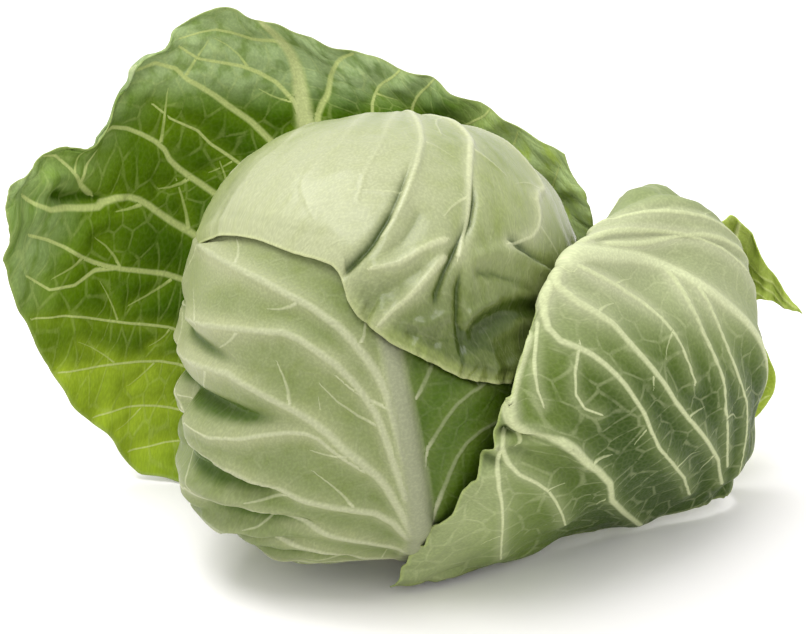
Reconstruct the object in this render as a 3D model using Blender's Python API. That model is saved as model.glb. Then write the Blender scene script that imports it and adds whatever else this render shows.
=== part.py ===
"""Cabbage head resting on its cut stem, with the wrapper leaves that stand open round it.

The head is one dense ball of folded leaves. A front leaf with a broad white rib and a cap leaf
are wrapped close over the ball. Three loose leaves stand off it: a large one behind and to the
left, one on the right that rises beside the head and folds over to the table, and a small one
behind that.

Lengths in the tables are millimetres, +Z is up and the middle of the stem's cut is the origin.
The front of the head faces -Y. Azimuth is measured in degrees from the front towards +X.
"""

import math

import bmesh
import bpy
import numpy as np

MM = 0.001

# The head's envelope, a rounded superellipsoid that the wrapped leaves lie on.
HEAD_CENTRE = (0.0, 0.0, 105.0)
HEAD_HALF = (93.0, 90.0, 97.0)
HEAD_POWER = 2.25

# The ball of inner leaves sits this far inside the envelope.
BALL_INSET = 8.2
BALL_STEP = 1.4

# The stem stump.
STEM_RADIUS = 18.6
STEM_CUT_RADIUS = 17.4
STEM_SHOULDER = 9.0
STEM_TOP = 14.2

STEM_BEVEL = 1.2
STEM_DOME = 3.6
STEM_STEPS = 40

# Blade thickness at the margin and what the rib adds at the foot of the leaf.
BLADE = 1.2
LOOSE_RIB = 3.2
FRONT_RIB = 2.0
CAP_RIB = 1.0
RIB_WIDTH = 7.0
RIB_FLARE = 1.25
RIB_TAPER = 0.85

# Usual width of each leaf, which sets how broad its rib is in leaf coordinates.
WRAPPED_WIDTH = 150.0
REAR_WIDTH = 270.0
RIGHT_WIDTH = 190.0
SMALL_WIDTH = 100.0

# Heights of the relief on the blades.
SIDE_RIB = 1.2
PUCKER = 2.2
CAP_VEIN = 1.0
CAP_CRINKLE = 0.5
REAR_BLISTER = 1.5
REAR_RUFFLE = 4.2
RIGHT_RUFFLE = 1.6
SMALL_RUFFLE = 2.0

# The front leaf's puckers: the height between two of them, how they slant round the head in
# degrees, the azimuth and the height above the table where they fade out.
PUCKER_PITCH = 3.4
PUCKER_SLANT = 11.0
PUCKER_AZIMUTH = (-12.0, -32.0)
PUCKER_HEIGHT = (75.0, 50.0)

# Width of a vein on the cap leaf, and how many crinkles and blisters there are, in radians
# over the leaf.
CAP_VEIN_WIDTH = 2.6
CAP_CRINKLES = 52.0
REAR_BLISTERS = 78.0
SIDE_RIB_RISE = 0.34

# The lowest any loose leaf reaches above the table.
TABLE_GAP = 0.4

# Wrapped leaves: rows from foot to tip, each a row of (azimuth, elevation, standoff).
FRONT_LEAF = (
    ((-36, -77, -3), (-25, -77, -3), (-13, -77, -3), (0, -77, -3), (12, -77, -3),
     (20, -77, -3), (28, -77, -3), (36, -77, -3), (44, -77, -3)),
    ((-74, -58, 4), (-54, -58, 8), (-33, -58, 9), (-10, -58, 4), (12, -58, 0),
     (28, -58, -1), (42, -58, -2), (54, -58, -2), (66, -58, -2)),
    ((-96, -42, 4), (-72, -42, 11), (-46, -42, 14), (-17, -42, 6), (11, -42, 0),
     (30, -42, -1), (48, -42, -2), (64, -42, -3), (78, -42, -3)),
    ((-110, -26, 0), (-84, -26, 8), (-55, -26, 11), (-24, -26, 4), (8, -26, 0),
     (29, -26, -1), (49, -26, -2), (67, -26, -3), (83, -26, -4)),
    ((-118, -4, -4), (-90, -4, 0), (-62, -4, 2), (-29, -4, 1), (5, -4, 0),
     (28, -4, -2), (50, -4, -3.5), (70, -4, -4.5), (86, -4, -4.5)),
    ((-118, 18, -4.5), (-90, 18, -1), (-62, 18, 0), (-30, 18, -0.5), (3, 18, -3.5),
     (28, 18, -4.5), (50, 18, -4.5), (70, 18, -4.5), (86, 18, -4.5)),
    ((-112, 40, -4.5), (-86, 40, -4.5), (-58, 40, -4.5), (-28, 40, -4.5), (0, 40, -4.5),
     (26, 40, -4.5), (48, 40, -4.5), (68, 40, -4.5), (84, 40, -4.5)),
    ((-104, 60, -4.5), (-80, 60, -4.5), (-54, 60, -4.5), (-26, 60, -4.5), (-4, 60, -4.5),
     (24, 60, -4.5), (46, 60, -4.5), (66, 60, -4.5), (82, 60, -4.5)),
)
CAP_LEAF = (
    ((192, -77, 0), (186, -77, 0), (180, -77, 0), (174, -77, 0), (168, -77, 0),
     (162, -77, 0), (156, -77, 0), (150, -77, 0), (144, -77, 0)),
    ((212, -47, -1), (202, -47, -1), (190, -47, -1), (178, -47, -1), (167, -47, -1),
     (154, -47, -1), (142, -47, -1), (130, -47, -1), (118, -47, -1)),
    ((236, -12, -1), (221, -8, -1), (205, -5, -1), (190, -3, -1), (177, -3, -1),
     (162, -3, -1), (146, -5, -1), (130, -8, -1), (112, -12, -1)),
    ((246, 12, -1), (236, 28, -1), (218, 38, -1), (198, 44, -1), (177, 45, -1),
     (159, 44, -1), (140, 38, -1), (120, 28, -1), (99, 14, -1)),
    ((256, 24, -1), (250, 46, -1), (238, 60, -1), (211, 70, -1), (174, 73, -1),
     (141, 70, -1), (117, 61, -1), (102, 46, -1), (93, 27, -1)),
    ((263, 30, -1), (270, 50, -1), (298, 66, -1), (342, 74, -1), (14, 73, -1),
     (39, 69, -1), (56, 62, -1), (65, 50, -1), (70, 35, -1)),
    ((271, 31, -0.5), (294, 46, -0.5), (322, 52, -0.5), (344, 54, -0.5), (0, 49, -0.5),
     (10, 42, -0.5), (20, 34, -0.5), (31, 27, -0.5), (46, 24, -1)),
    ((280, 29, 1), (308, 39, 1), (329, 39, 1), (344, 37, 1.5), (350, 28, 1.5),
     (358, 21, 1), (12, 13, 1), (25, 7, 1.5), (40, 9, 0.5)),
)

# Loose leaves: rows from foot to tip, each a row of (x, y, z).
REAR_LEAF = (
    ((-19.3, 7.0, 5), (-17.8, 10.3, 4.5), (-15.9, 12.9, 4), (-13.7, 15.2, 4),
     (-11.2, 17.2, 4), (-8.3, 18.7, 4.5), (-5.3, 19.8, 5)),
    ((-64, 34, 4), (-52, 44, 8), (-40, 50, 11), (-28, 54, 12), (-16, 56, 11),
     (0, 56, 8), (14, 55, 5)),
    ((-108, 62, 2), (-88, 74, 20), (-62, 86, 36), (-36, 92, 44), (-8, 94, 40),
     (26, 90, 26), (50, 84, 12)),
    ((-153, 60, 48), (-109, 88, 72), (-72, 104, 88), (-28, 112, 98), (14, 112, 92),
     (60, 104, 74), (88, 94, 56)),
    ((-175, 50, 104), (-131, 84, 124), (-92, 110, 140), (-36, 122, 150), (14, 122, 142),
     (64, 116, 122), (103, 92, 103)),
    ((-177, 44, 137), (-145, 78, 161), (-104, 108, 200), (-49, 128, 193), (-17, 133, 183),
     (41, 124, 157), (99, 96, 131)),
    ((-173, 50, 156), (-142, 78, 170), (-94, 112, 220), (-60, 124, 217), (-23, 134, 200),
     (45, 124, 173), (88, 104, 154)),
)
RIGHT_LEAF = (
    ((15.3, -12.9, 5), (17.3, -10, 4), (18.8, -6.8, 4), (19.7, -3.5, 4), (20, 0, 4),
     (19.7, 3.5, 5)),
    ((56, -40, 21), (60, -35, 21), (63, -29, 21), (66, -22, 21), (69, -9, 21), (69, 5, 22)),
    ((80, -51, 70), (84, -44, 70), (88, -36, 70), (91, -26, 70), (94, -12, 70), (94, 7, 70)),
    ((83, -56, 122), (86, -49, 122), (90, -41, 122), (93, -31, 122), (96, -15, 122),
     (97, 4, 122)),
    ((68, -66, 146), (72, -60, 152), (77, -52, 157), (84, -38, 159), (98, 2, 156),
     (110, 26, 155)),
    ((51, -90, 111), (67, -82, 124), (94, -57, 136), (118, -12, 142), (132, 10, 164),
     (130, 34, 160)),
    ((40, -90, 78), (60, -88, 88), (110, -57, 102), (147, -8, 122), (163, 26, 130),
     (158, 48, 129)),
    ((22, -78, 44), (51, -76, 52), (123, -38, 60), (170, 10, 76), (179, 38, 79),
     (174, 56, 79)),
    ((5, -49, 2), (38, -36, 2), (110, 8, 2), (161, 27, 2), (170, 42, 2), (172, 54, 2)),
)
SMALL_LEAF = (
    ((18.8, 6.8, 4), (18.1, 8.5, 4), (17.3, 10, 4), (16.4, 11.5, 4), (15.3, 12.9, 4)),
    ((72, 26, 5), (68, 34, 5), (62, 40, 6), (54, 44, 8), (46, 46, 10)),
    ((190, 76, 31), (170, 84, 28), (148, 90, 28), (124, 90, 30), (100, 82, 36)),
    ((182, 88, 82), (176, 94, 88), (164, 98, 92), (142, 98, 94), (118, 88, 92)),
    ((203, 86, 79), (182, 84, 108), (167, 78, 132), (148, 70, 134), (124, 58, 156)),
)

# Leaves of the ball whose edges show: azimuth, elevation, and how far round each one reaches.
BALL_LOBES = ((150, 10, 0.15), (215, 30, 0.3), (250, -20, 0.35), (100, 0, 0.4))
BALL_EDGE = 0.16
BALL_WAVE = 0.06

# Raised lines on the cap leaf: (azimuth, elevation) from one end to the other.
CAP_VEINS = (
    ((-15, 35), (0, 49), (14, 73)),
    ((14, 27), (20, 34), (27, 48), (56, 62)),
    ((38, 42), (52, 46), (65, 50)),
    ((-10, 24), (4, 33), (20, 40)),
)


def clear_scene():
    """Empty the startup scene."""
    for item in list(bpy.data.objects):
        bpy.data.objects.remove(item, do_unlink=True)


def weights(t, count):
    """Weights of `count` evenly spaced control values on a smooth curve at parameters t."""
    span = np.clip(np.asarray(t, float) * (count - 1), 0, count - 1 - 1e-9)
    index = span.astype(int)
    f = span - index
    table = np.zeros((len(span), count + 2))
    rows = np.arange(len(span))
    table[rows, index] += -0.5 * f + f ** 2 - 0.5 * f ** 3
    table[rows, index + 1] += 1 - 2.5 * f ** 2 + 1.5 * f ** 3
    table[rows, index + 2] += 0.5 * f + 2 * f ** 2 - 1.5 * f ** 3
    table[rows, index + 3] += -0.5 * f ** 2 + 0.5 * f ** 3
    table[:, 1] += 2 * table[:, 0]
    table[:, 2] -= table[:, 0]
    table[:, -2] += 2 * table[:, -1]
    table[:, -3] -= table[:, -1]
    return table[:, 1:-1]


def on_net(net, u, v):
    """Values of a control net at leaf coordinates u (foot to tip) and v (left to right)."""
    values = np.asarray(net, float)
    return np.einsum(
        "ni,nj,ijk->nk", weights(u, values.shape[0]), weights(v, values.shape[1]), values
    )


def directions(azimuth, elevation):
    """Unit vectors for azimuths and elevations in degrees."""
    a = np.radians(azimuth)
    e = np.radians(elevation)
    return np.stack([np.sin(a) * np.cos(e), -np.cos(a) * np.cos(e), np.sin(e)], -1)


def on_head(way, standoff):
    """Points in the given directions from the head's centre, a standoff outside its envelope."""
    unit = way / np.linalg.norm(way, axis=-1, keepdims=True)
    radius = (np.abs(unit / HEAD_HALF) ** HEAD_POWER).sum(-1) ** (-1 / HEAD_POWER)
    return np.asarray(HEAD_CENTRE) + unit * (radius + standoff)[..., None]


def smooth(x):
    """A step that eases from 0 to 1."""
    t = np.clip(x, 0, 1)
    return t * t * (3 - 2 * t)


def fade(x, start, end):
    """0 at start and 1 at end, eased between them."""
    return smooth((x - start) / (end - start))


def line_distance(points, line):
    """Distance of 2-D or 3-D points from a polyline."""
    best = np.full(len(points), 1e9)
    for a, b in zip(line[:-1], line[1:]):
        a = np.asarray(a, float)
        edge = np.asarray(b, float) - a
        t = np.clip((points - a) @ edge / (edge @ edge), 0, 1)
        best = np.minimum(best, np.linalg.norm(points - a - t[:, None] * edge, axis=1))
    return best


def edge_share(u, v, reach):
    """1 at the side and tip margins, easing to 0 a share `reach` of the leaf inwards."""
    gap = np.minimum(np.minimum(v, 1 - v), 1 - u)
    return 1 - smooth(gap / reach)


def side_ribs(u, v, first, last, count, slope, width):
    """Profile of the ribs that leave the middle rib on both sides and rise towards the tip."""
    out = np.abs(v - 0.5)
    best = np.zeros(len(u))
    for start in np.linspace(first, last, count):
        gap = np.abs(u - start - slope * out)
        best = np.maximum(best, np.exp(-(gap / width) ** 2))
    return best * smooth(out / 0.06) * (1 - smooth((out - 0.3) / 0.18))


def ruffle(u, v, waves, phase):
    """Waves that run along the margin of a leaf."""
    turn = np.arctan2(v - 0.5, (u - 0.35) * 0.8)
    return 0.6 * np.sin(turn * waves + phase) + 0.4 * np.sin(turn * waves * 1.9 + 2.3 * phase)


def new_material(name, colour, roughness):
    """A plain non-metal surface."""
    material = bpy.data.materials.new(name)
    material.use_nodes = True
    shader = material.node_tree.nodes["Principled BSDF"]
    shader.inputs["Base Color"].default_value = (*colour, 1.0)
    shader.inputs["Roughness"].default_value = roughness
    shader.inputs["Metallic"].default_value = 0.0
    return material


def place(name, mesh_data, material):
    """Turn a bmesh into a named object of the scene."""
    mesh = bpy.data.meshes.new(name)
    mesh_data.to_mesh(mesh)
    mesh_data.free()
    mesh.materials.append(material)
    item = bpy.data.objects.new(name, mesh)
    bpy.context.scene.collection.objects.link(item)
    return item


def leaf_grid(columns, rows):
    """A triangulated unit grid and its leaf coordinates."""
    grid = bmesh.new()
    bmesh.ops.create_grid(grid, x_segments=columns, y_segments=rows, size=0.5)
    bmesh.ops.triangulate(grid, faces=grid.faces[:], quad_method="FIXED")
    grid.verts.ensure_lookup_table()
    flat = np.array([vert.co[:2] for vert in grid.verts])
    return grid, np.clip(flat[:, 1] + 0.5, 0, 1), np.clip(flat[:, 0] + 0.5, 0, 1)


def thicken(item, thickness):
    """Give a sheet its thickness in millimetres at every vertex."""
    most = float(thickness.max())
    group = item.vertex_groups.new(name="thickness")
    for index, value in enumerate(thickness):
        group.add([index], float(value) / most, "REPLACE")
    shell = item.modifiers.new("thickness", "SOLIDIFY")
    shell.thickness = most * MM
    shell.offset = 0.0
    shell.vertex_group = group.name
    shell.thickness_vertex_group = 0.0
    shell.use_even_offset = False


def rib_profile(u, v, height, across):
    """Height of the middle rib at a point of a leaf that is `across` wide."""
    width = RIB_WIDTH * (RIB_FLARE - RIB_TAPER * u)
    return np.exp(-((v - 0.5) * across / width) ** 2) * (1 - u) ** 0.8 * height


def set_positions(grid, points):
    """Move the grid's vertices to positions given in millimetres."""
    for vert, point in zip(grid.verts, points):
        vert.co = point * MM


def wrapped_leaf(name, net, columns, rows, relief, rib_height, material):
    """A leaf that lies on the head's envelope."""
    grid, u, v = leaf_grid(columns, rows)
    table = np.asarray(net, float)
    points = on_head(directions(table[..., 0], table[..., 1]), np.zeros(table.shape[:2]))
    flat = on_net(np.concatenate([points, table[..., 2:]], -1), u, v)
    way = flat[:, :3] - np.asarray(HEAD_CENTRE)
    rib = rib_profile(u, v, rib_height, WRAPPED_WIDTH)
    standoff = flat[:, 3] + relief(u, v, way) + rib * 0.5
    set_positions(grid, on_head(way, standoff))
    item = place(name, grid, material)
    thicken(item, BLADE + rib)
    return item


def loose_leaf(name, net, columns, rows, relief, across, material):
    """A leaf that stands free of the head."""
    grid, u, v = leaf_grid(columns, rows)
    step = 1e-3
    along = on_net(net, np.minimum(u + step, 1), v) - on_net(net, np.maximum(u - step, 0), v)
    side = on_net(net, u, np.minimum(v + step, 1)) - on_net(net, u, np.maximum(v - step, 0))
    normal = np.cross(side, along)
    normal /= np.linalg.norm(normal, axis=1, keepdims=True)
    rib = rib_profile(u, v, LOOSE_RIB, across)
    thickness = BLADE + rib
    points = on_net(net, u, v) + normal * relief(u, v)[:, None]
    points[:, 2] = np.maximum(points[:, 2], TABLE_GAP + thickness * 0.5)
    set_positions(grid, points)
    item = place(name, grid, material)
    thicken(item, thickness)
    return item


def front_relief(u, v, way):
    """Side ribs of the front leaf and the puckers low on its left."""
    ribs = SIDE_RIB * side_ribs(u, v, 0.06, 0.5, 6, 0.42, 0.022) * (v < 0.5)
    azimuth = np.degrees(np.arctan2(way[:, 0], -way[:, 1]))
    height = way[:, 2] + HEAD_CENTRE[2]
    region = fade(azimuth, *PUCKER_AZIMUTH) * fade(height, *PUCKER_HEIGHT) * fade(u, 0.12, 0.22)
    return ribs + region * PUCKER * np.sin(height / PUCKER_PITCH + azimuth / PUCKER_SLANT)


def cap_relief(u, v, way):
    """Raised veins of the cap leaf and its lifted, waved margin."""
    unit = way / np.linalg.norm(way, axis=1, keepdims=True)
    veins = np.zeros(len(u))
    for line in CAP_VEINS:
        stops = directions([p[0] for p in line], [p[1] for p in line])
        gap = line_distance(unit, stops) * HEAD_HALF[0]
        veins = np.maximum(veins, np.exp(-(gap / CAP_VEIN_WIDTH) ** 2))
    return CAP_VEIN * veins + CAP_CRINKLE * fade(u, 0.86, 1) * np.sin(v * CAP_CRINKLES)


def rear_relief(u, v):
    """Side ribs, blisters and the ruffled margin of the rear leaf."""
    ribs = SIDE_RIB * side_ribs(u, v, 0.3, 0.86, 7, SIDE_RIB_RISE, 0.016)
    out = np.abs(v - 0.5)
    blister = np.cos((u - SIDE_RIB_RISE * out) * REAR_BLISTERS) * fade(u, 0, 0.3) * fade(out, 0, 0.08)
    margin = edge_share(u, v, 0.16) * fade(u, 0.22, 0.47) * ruffle(u, v, 9, 0.4)
    return ribs - REAR_BLISTER * blister + REAR_RUFFLE * margin


def right_relief(u, v):
    """Side ribs and the frilled margin of the leaf that folds over."""
    ribs = SIDE_RIB * side_ribs(u, v, 0.42, 0.8, 6, 0.3, 0.016)
    margin = edge_share(u, v, 0.1) * ruffle(u, v, 12, 1.1)
    return (ribs + RIGHT_RUFFLE * margin) * fade(u, 0.5, 0.62)


def small_relief(u, v):
    """The waved margin of the small leaf."""
    return SMALL_RUFFLE * edge_share(u, v, 0.2) * fade(u, 0.3, 0.6) * ruffle(u, v, 7, 0.9)


def make_ball(material):
    """The dense ball of inner leaves, with the edges of a few of them showing as low steps."""
    ball = bmesh.new()
    bmesh.ops.create_uvsphere(ball, u_segments=36, v_segments=24, radius=1.0)
    bmesh.ops.triangulate(ball, faces=ball.faces[:], quad_method="FIXED")
    way = np.array([vert.co[:] for vert in ball.verts])
    standoff = np.full(len(way), -BALL_INSET)
    step = BALL_STEP / len(BALL_LOBES)
    for azimuth, elevation, reach in BALL_LOBES:
        wave = BALL_WAVE * np.sin(5 * np.arctan2(way[:, 1], way[:, 0]) + azimuth)
        standoff += step * fade(way @ directions(azimuth, elevation) + wave, reach, reach + BALL_EDGE)
    for vert, point in zip(ball.verts, on_head(way, standoff)):
        vert.co = point * MM
    return place("head", ball, material)


def make_stem(material):
    """The short stump, cut flat below and domed under the ball."""
    profile = (
        (0.0, 0.0), (STEM_CUT_RADIUS, 0.0), (STEM_RADIUS, STEM_BEVEL), (STEM_RADIUS, STEM_SHOULDER),
        (STEM_RADIUS - STEM_DOME, STEM_TOP - 0.5 * STEM_DOME),
        (0.5 * STEM_RADIUS, STEM_TOP - 0.1 * STEM_DOME), (0.0, STEM_TOP),
    )
    stem = bmesh.new()
    verts = [stem.verts.new((r * MM, 0.0, z * MM)) for r, z in profile]
    edges = [stem.edges.new(pair) for pair in zip(verts[:-1], verts[1:])]
    bmesh.ops.spin(
        stem, geom=verts + edges, cent=(0, 0, 0), axis=(0, 0, 1), angle=math.tau,
        steps=STEM_STEPS, use_merge=True, use_duplicate=False,
    )
    bmesh.ops.remove_doubles(stem, verts=stem.verts[:], dist=1e-6)
    bmesh.ops.triangulate(stem, faces=stem.faces[:])
    bmesh.ops.recalc_face_normals(stem, faces=stem.faces[:])
    return place("stem", stem, material)


def main():
    """Build the whole cabbage."""
    clear_scene()
    pale = new_material("inner_leaf", (0.58, 0.66, 0.36), 0.45)
    front = new_material("front_leaf", (0.47, 0.57, 0.26), 0.45)
    green = new_material("wrapper_leaf", (0.20, 0.34, 0.09), 0.5)
    cut = new_material("cut_stem", (0.70, 0.68, 0.46), 0.65)
    make_stem(cut)
    make_ball(pale)
    wrapped_leaf("front_leaf", FRONT_LEAF, 28, 26, front_relief, FRONT_RIB, front)
    wrapped_leaf("cap_leaf", CAP_LEAF, 26, 24, cap_relief, CAP_RIB, front)
    loose_leaf("rear_leaf", REAR_LEAF, 32, 30, rear_relief, REAR_WIDTH, green)
    loose_leaf("right_leaf", RIGHT_LEAF, 24, 34, right_relief, RIGHT_WIDTH, green)
    loose_leaf("small_leaf", SMALL_LEAF, 16, 18, small_relief, SMALL_WIDTH, green)


main()
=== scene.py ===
"""A cabbage head with two loose outer leaves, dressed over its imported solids."""

import logging
import math
from dataclasses import dataclass, field
from enum import Enum

import bmesh
import bpy
import numpy as np
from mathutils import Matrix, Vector


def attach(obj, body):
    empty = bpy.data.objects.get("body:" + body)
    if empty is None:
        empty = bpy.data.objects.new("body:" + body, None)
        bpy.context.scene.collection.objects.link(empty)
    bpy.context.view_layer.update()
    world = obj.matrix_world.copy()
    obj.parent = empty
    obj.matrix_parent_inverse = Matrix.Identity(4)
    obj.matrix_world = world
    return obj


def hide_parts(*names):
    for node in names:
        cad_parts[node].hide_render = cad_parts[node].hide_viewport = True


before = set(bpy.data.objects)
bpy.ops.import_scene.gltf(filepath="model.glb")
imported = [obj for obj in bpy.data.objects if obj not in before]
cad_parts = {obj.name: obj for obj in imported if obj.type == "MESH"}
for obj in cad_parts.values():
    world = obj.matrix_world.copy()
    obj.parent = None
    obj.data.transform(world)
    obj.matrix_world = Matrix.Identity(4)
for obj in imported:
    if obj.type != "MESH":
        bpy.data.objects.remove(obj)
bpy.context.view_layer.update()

MM = 0.001
BODY = "root"
SEED = 11
VIEW_TILT = 22.0
NEAR_ZERO = 1e-9

log = logging.getLogger("cabbage")


class Slot(Enum):
    """The record's material slots."""

    CUT = "cut_stem"
    INNER = "inner_leaf"
    WRAPPED = "wrapped_leaf"
    LOOSE = "loose_leaf"


class Lay(Enum):
    """How the blade swells between its veins on the side that shows."""

    RIDGED = 1.0
    BLISTERED = -1.0


def smooth(x: np.ndarray) -> np.ndarray:
    """Ease from 0 to 1.

    Args:
        x: Values, of which only the stretch from 0 to 1 is eased.

    Returns:
        The eased values.
    """
    t = np.clip(x, 0, 1)
    return t * t * (3 - 2 * t)


def band(x: np.ndarray, low: float, high: float) -> np.ndarray:
    """Ease from 0 at low to 1 at high, whichever is the larger."""
    return smooth((x - low) / (high - low))


def weights(t: np.ndarray, count: int) -> np.ndarray:
    """Weights of a curve that passes through evenly spaced stops.

    Args:
        t: Places along the curve, from 0 to 1.
        count: How many stops the curve has.

    Returns:
        One row of weights for each place.
    """
    x = np.clip(t, 0, 1) * (count - 1)
    start = np.minimum(x.astype(int), count - 2)
    f = x - start
    table = np.zeros((len(x), count + 2))
    rows = np.arange(len(x))
    table[rows, start] = f * (-0.5 + f * (1 - 0.5 * f))
    table[rows, start + 1] = 1 + f * f * (1.5 * f - 2.5)
    table[rows, start + 2] = f * (0.5 + f * (2 - 1.5 * f))
    table[rows, start + 3] = f * f * (0.5 * f - 0.5)
    table[:, 1] += 2 * table[:, 0]
    table[:, 2] -= table[:, 0]
    table[:, -2] += 2 * table[:, -1]
    table[:, -3] -= table[:, -1]
    return table[:, 1:-1]


def on_net(net: np.ndarray, u: np.ndarray, v: np.ndarray) -> np.ndarray:
    """Values of a control net at leaf coordinates.

    Args:
        net: Rows from foot to tip, of columns from left to right.
        u: Places from foot to tip, from 0 to 1.
        v: Places from left to right, from 0 to 1.

    Returns:
        One row of values for each place.
    """
    return np.einsum("ni,nj,ijk->nk", weights(u, net.shape[0]), weights(v, net.shape[1]), net)


def directions(azimuth: np.ndarray, elevation: np.ndarray) -> np.ndarray:
    """Unit vectors for azimuths and elevations.

    Args:
        azimuth: Degrees to the right of the viewer's side.
        elevation: Degrees above the level.

    Returns:
        One vector for each pair.
    """
    a = np.radians(azimuth)
    e = np.radians(elevation)
    return np.stack([np.sin(a) * np.cos(e), -np.cos(a) * np.cos(e), np.sin(e)], -1)


def across_view(points: np.ndarray) -> np.ndarray:
    """Places of points in the main view, in millimetres right of the head's middle and above it.

    Args:
        points: Points in millimetres.

    Returns:
        One row of right and up for each point.
    """
    tilt = math.radians(VIEW_TILT)
    up = points[:, 2] * math.cos(tilt) + points[:, 1] * math.sin(tilt)
    return np.stack([points[:, 0], up - HEAD.centre[2] * math.cos(tilt)], -1)


def unit(vectors: np.ndarray) -> np.ndarray:
    """The vectors at length 1."""
    return vectors / np.maximum(np.linalg.norm(vectors, axis=-1, keepdims=True), NEAR_ZERO)


def value_noise(x: np.ndarray, y: np.ndarray, seed: int) -> np.ndarray:
    """Soft seeded noise over a plane, one lump to each unit.

    Args:
        x: First coordinates.
        y: Second coordinates.
        seed: Which noise it is.

    Returns:
        Values from -1 to 1.
    """
    size = 64
    table = np.random.default_rng(SEED + seed).uniform(-1, 1, (size, size))
    i = np.floor(x).astype(int)
    j = np.floor(y).astype(int)
    fx = smooth(x - i)
    fy = smooth(y - j)
    low = table[i % size, j % size] * (1 - fx) + table[(i + 1) % size, j % size] * fx
    high = table[i % size, (j + 1) % size] * (1 - fx) + table[(i + 1) % size, (j + 1) % size] * fx
    return low * (1 - fy) + high * fy


def linear(rgb: tuple[int, int, int]) -> tuple[float, float, float, float]:
    """A screen colour, 0 to 255 a channel, as the shader's linear colour."""
    channels = [((c / 255 + 0.055) / 1.055) ** 2.4 for c in rgb]
    return (channels[0], channels[1], channels[2], 1.0)


@dataclass(frozen=True)
class HeadForm:
    """The rounded form of the whole head, in millimetres."""

    centre: tuple[float, float, float] = (0.0, 0.0, 105.0)
    half: tuple[float, float, float] = (93.0, 90.0, 97.0)
    power: float = 2.25

    def ways(self, points: np.ndarray) -> np.ndarray:
        """Unit vectors from the head's centre to the points."""
        return unit(points - np.asarray(self.centre))

    def surface(self, way: np.ndarray, standoff: np.ndarray) -> np.ndarray:
        """Points in the given directions, a standoff outside the form.

        Args:
            way: Directions from the centre.
            standoff: Distances outside the form.

        Returns:
            Points in millimetres.
        """
        towards = unit(way)
        radius = (np.abs(towards / np.asarray(self.half)) ** self.power).sum(-1) ** (-1 / self.power)
        return np.asarray(self.centre) + towards * (radius + standoff)[..., None]


HEAD = HeadForm()


@dataclass(frozen=True)
class Vein:
    """A vein or a fold that follows a route over a leaf."""

    route: tuple[tuple[float, float], ...]
    width: float = 2.0
    tip: float = 0.45
    rise: float = 0.5
    pale: float = 0.75
    white: float = 0.0
    step: float = 0.0
    ends: float = 0.0
    twigs: bool = True

    def stops(self, step: float = 0.04) -> np.ndarray:
        """Leaf coordinates along the route.

        Args:
            step: Spacing of the stops, as a share of the leaf.

        Returns:
            One row of u and v for each stop.
        """
        table = np.asarray(self.route, float)
        length = np.linalg.norm(np.diff(table, axis=0), axis=1).sum()
        t = np.linspace(0, 1, max(4, int(length / step) + 2))
        return weights(t, len(table)) @ table


@dataclass
class Trace:
    """What the veins leave on a sheet: share, gap and side by face, the rest by point."""

    share: np.ndarray
    gap: np.ndarray
    side: np.ndarray
    pale: np.ndarray
    white: np.ndarray
    ridge: np.ndarray
    away: np.ndarray


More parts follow.
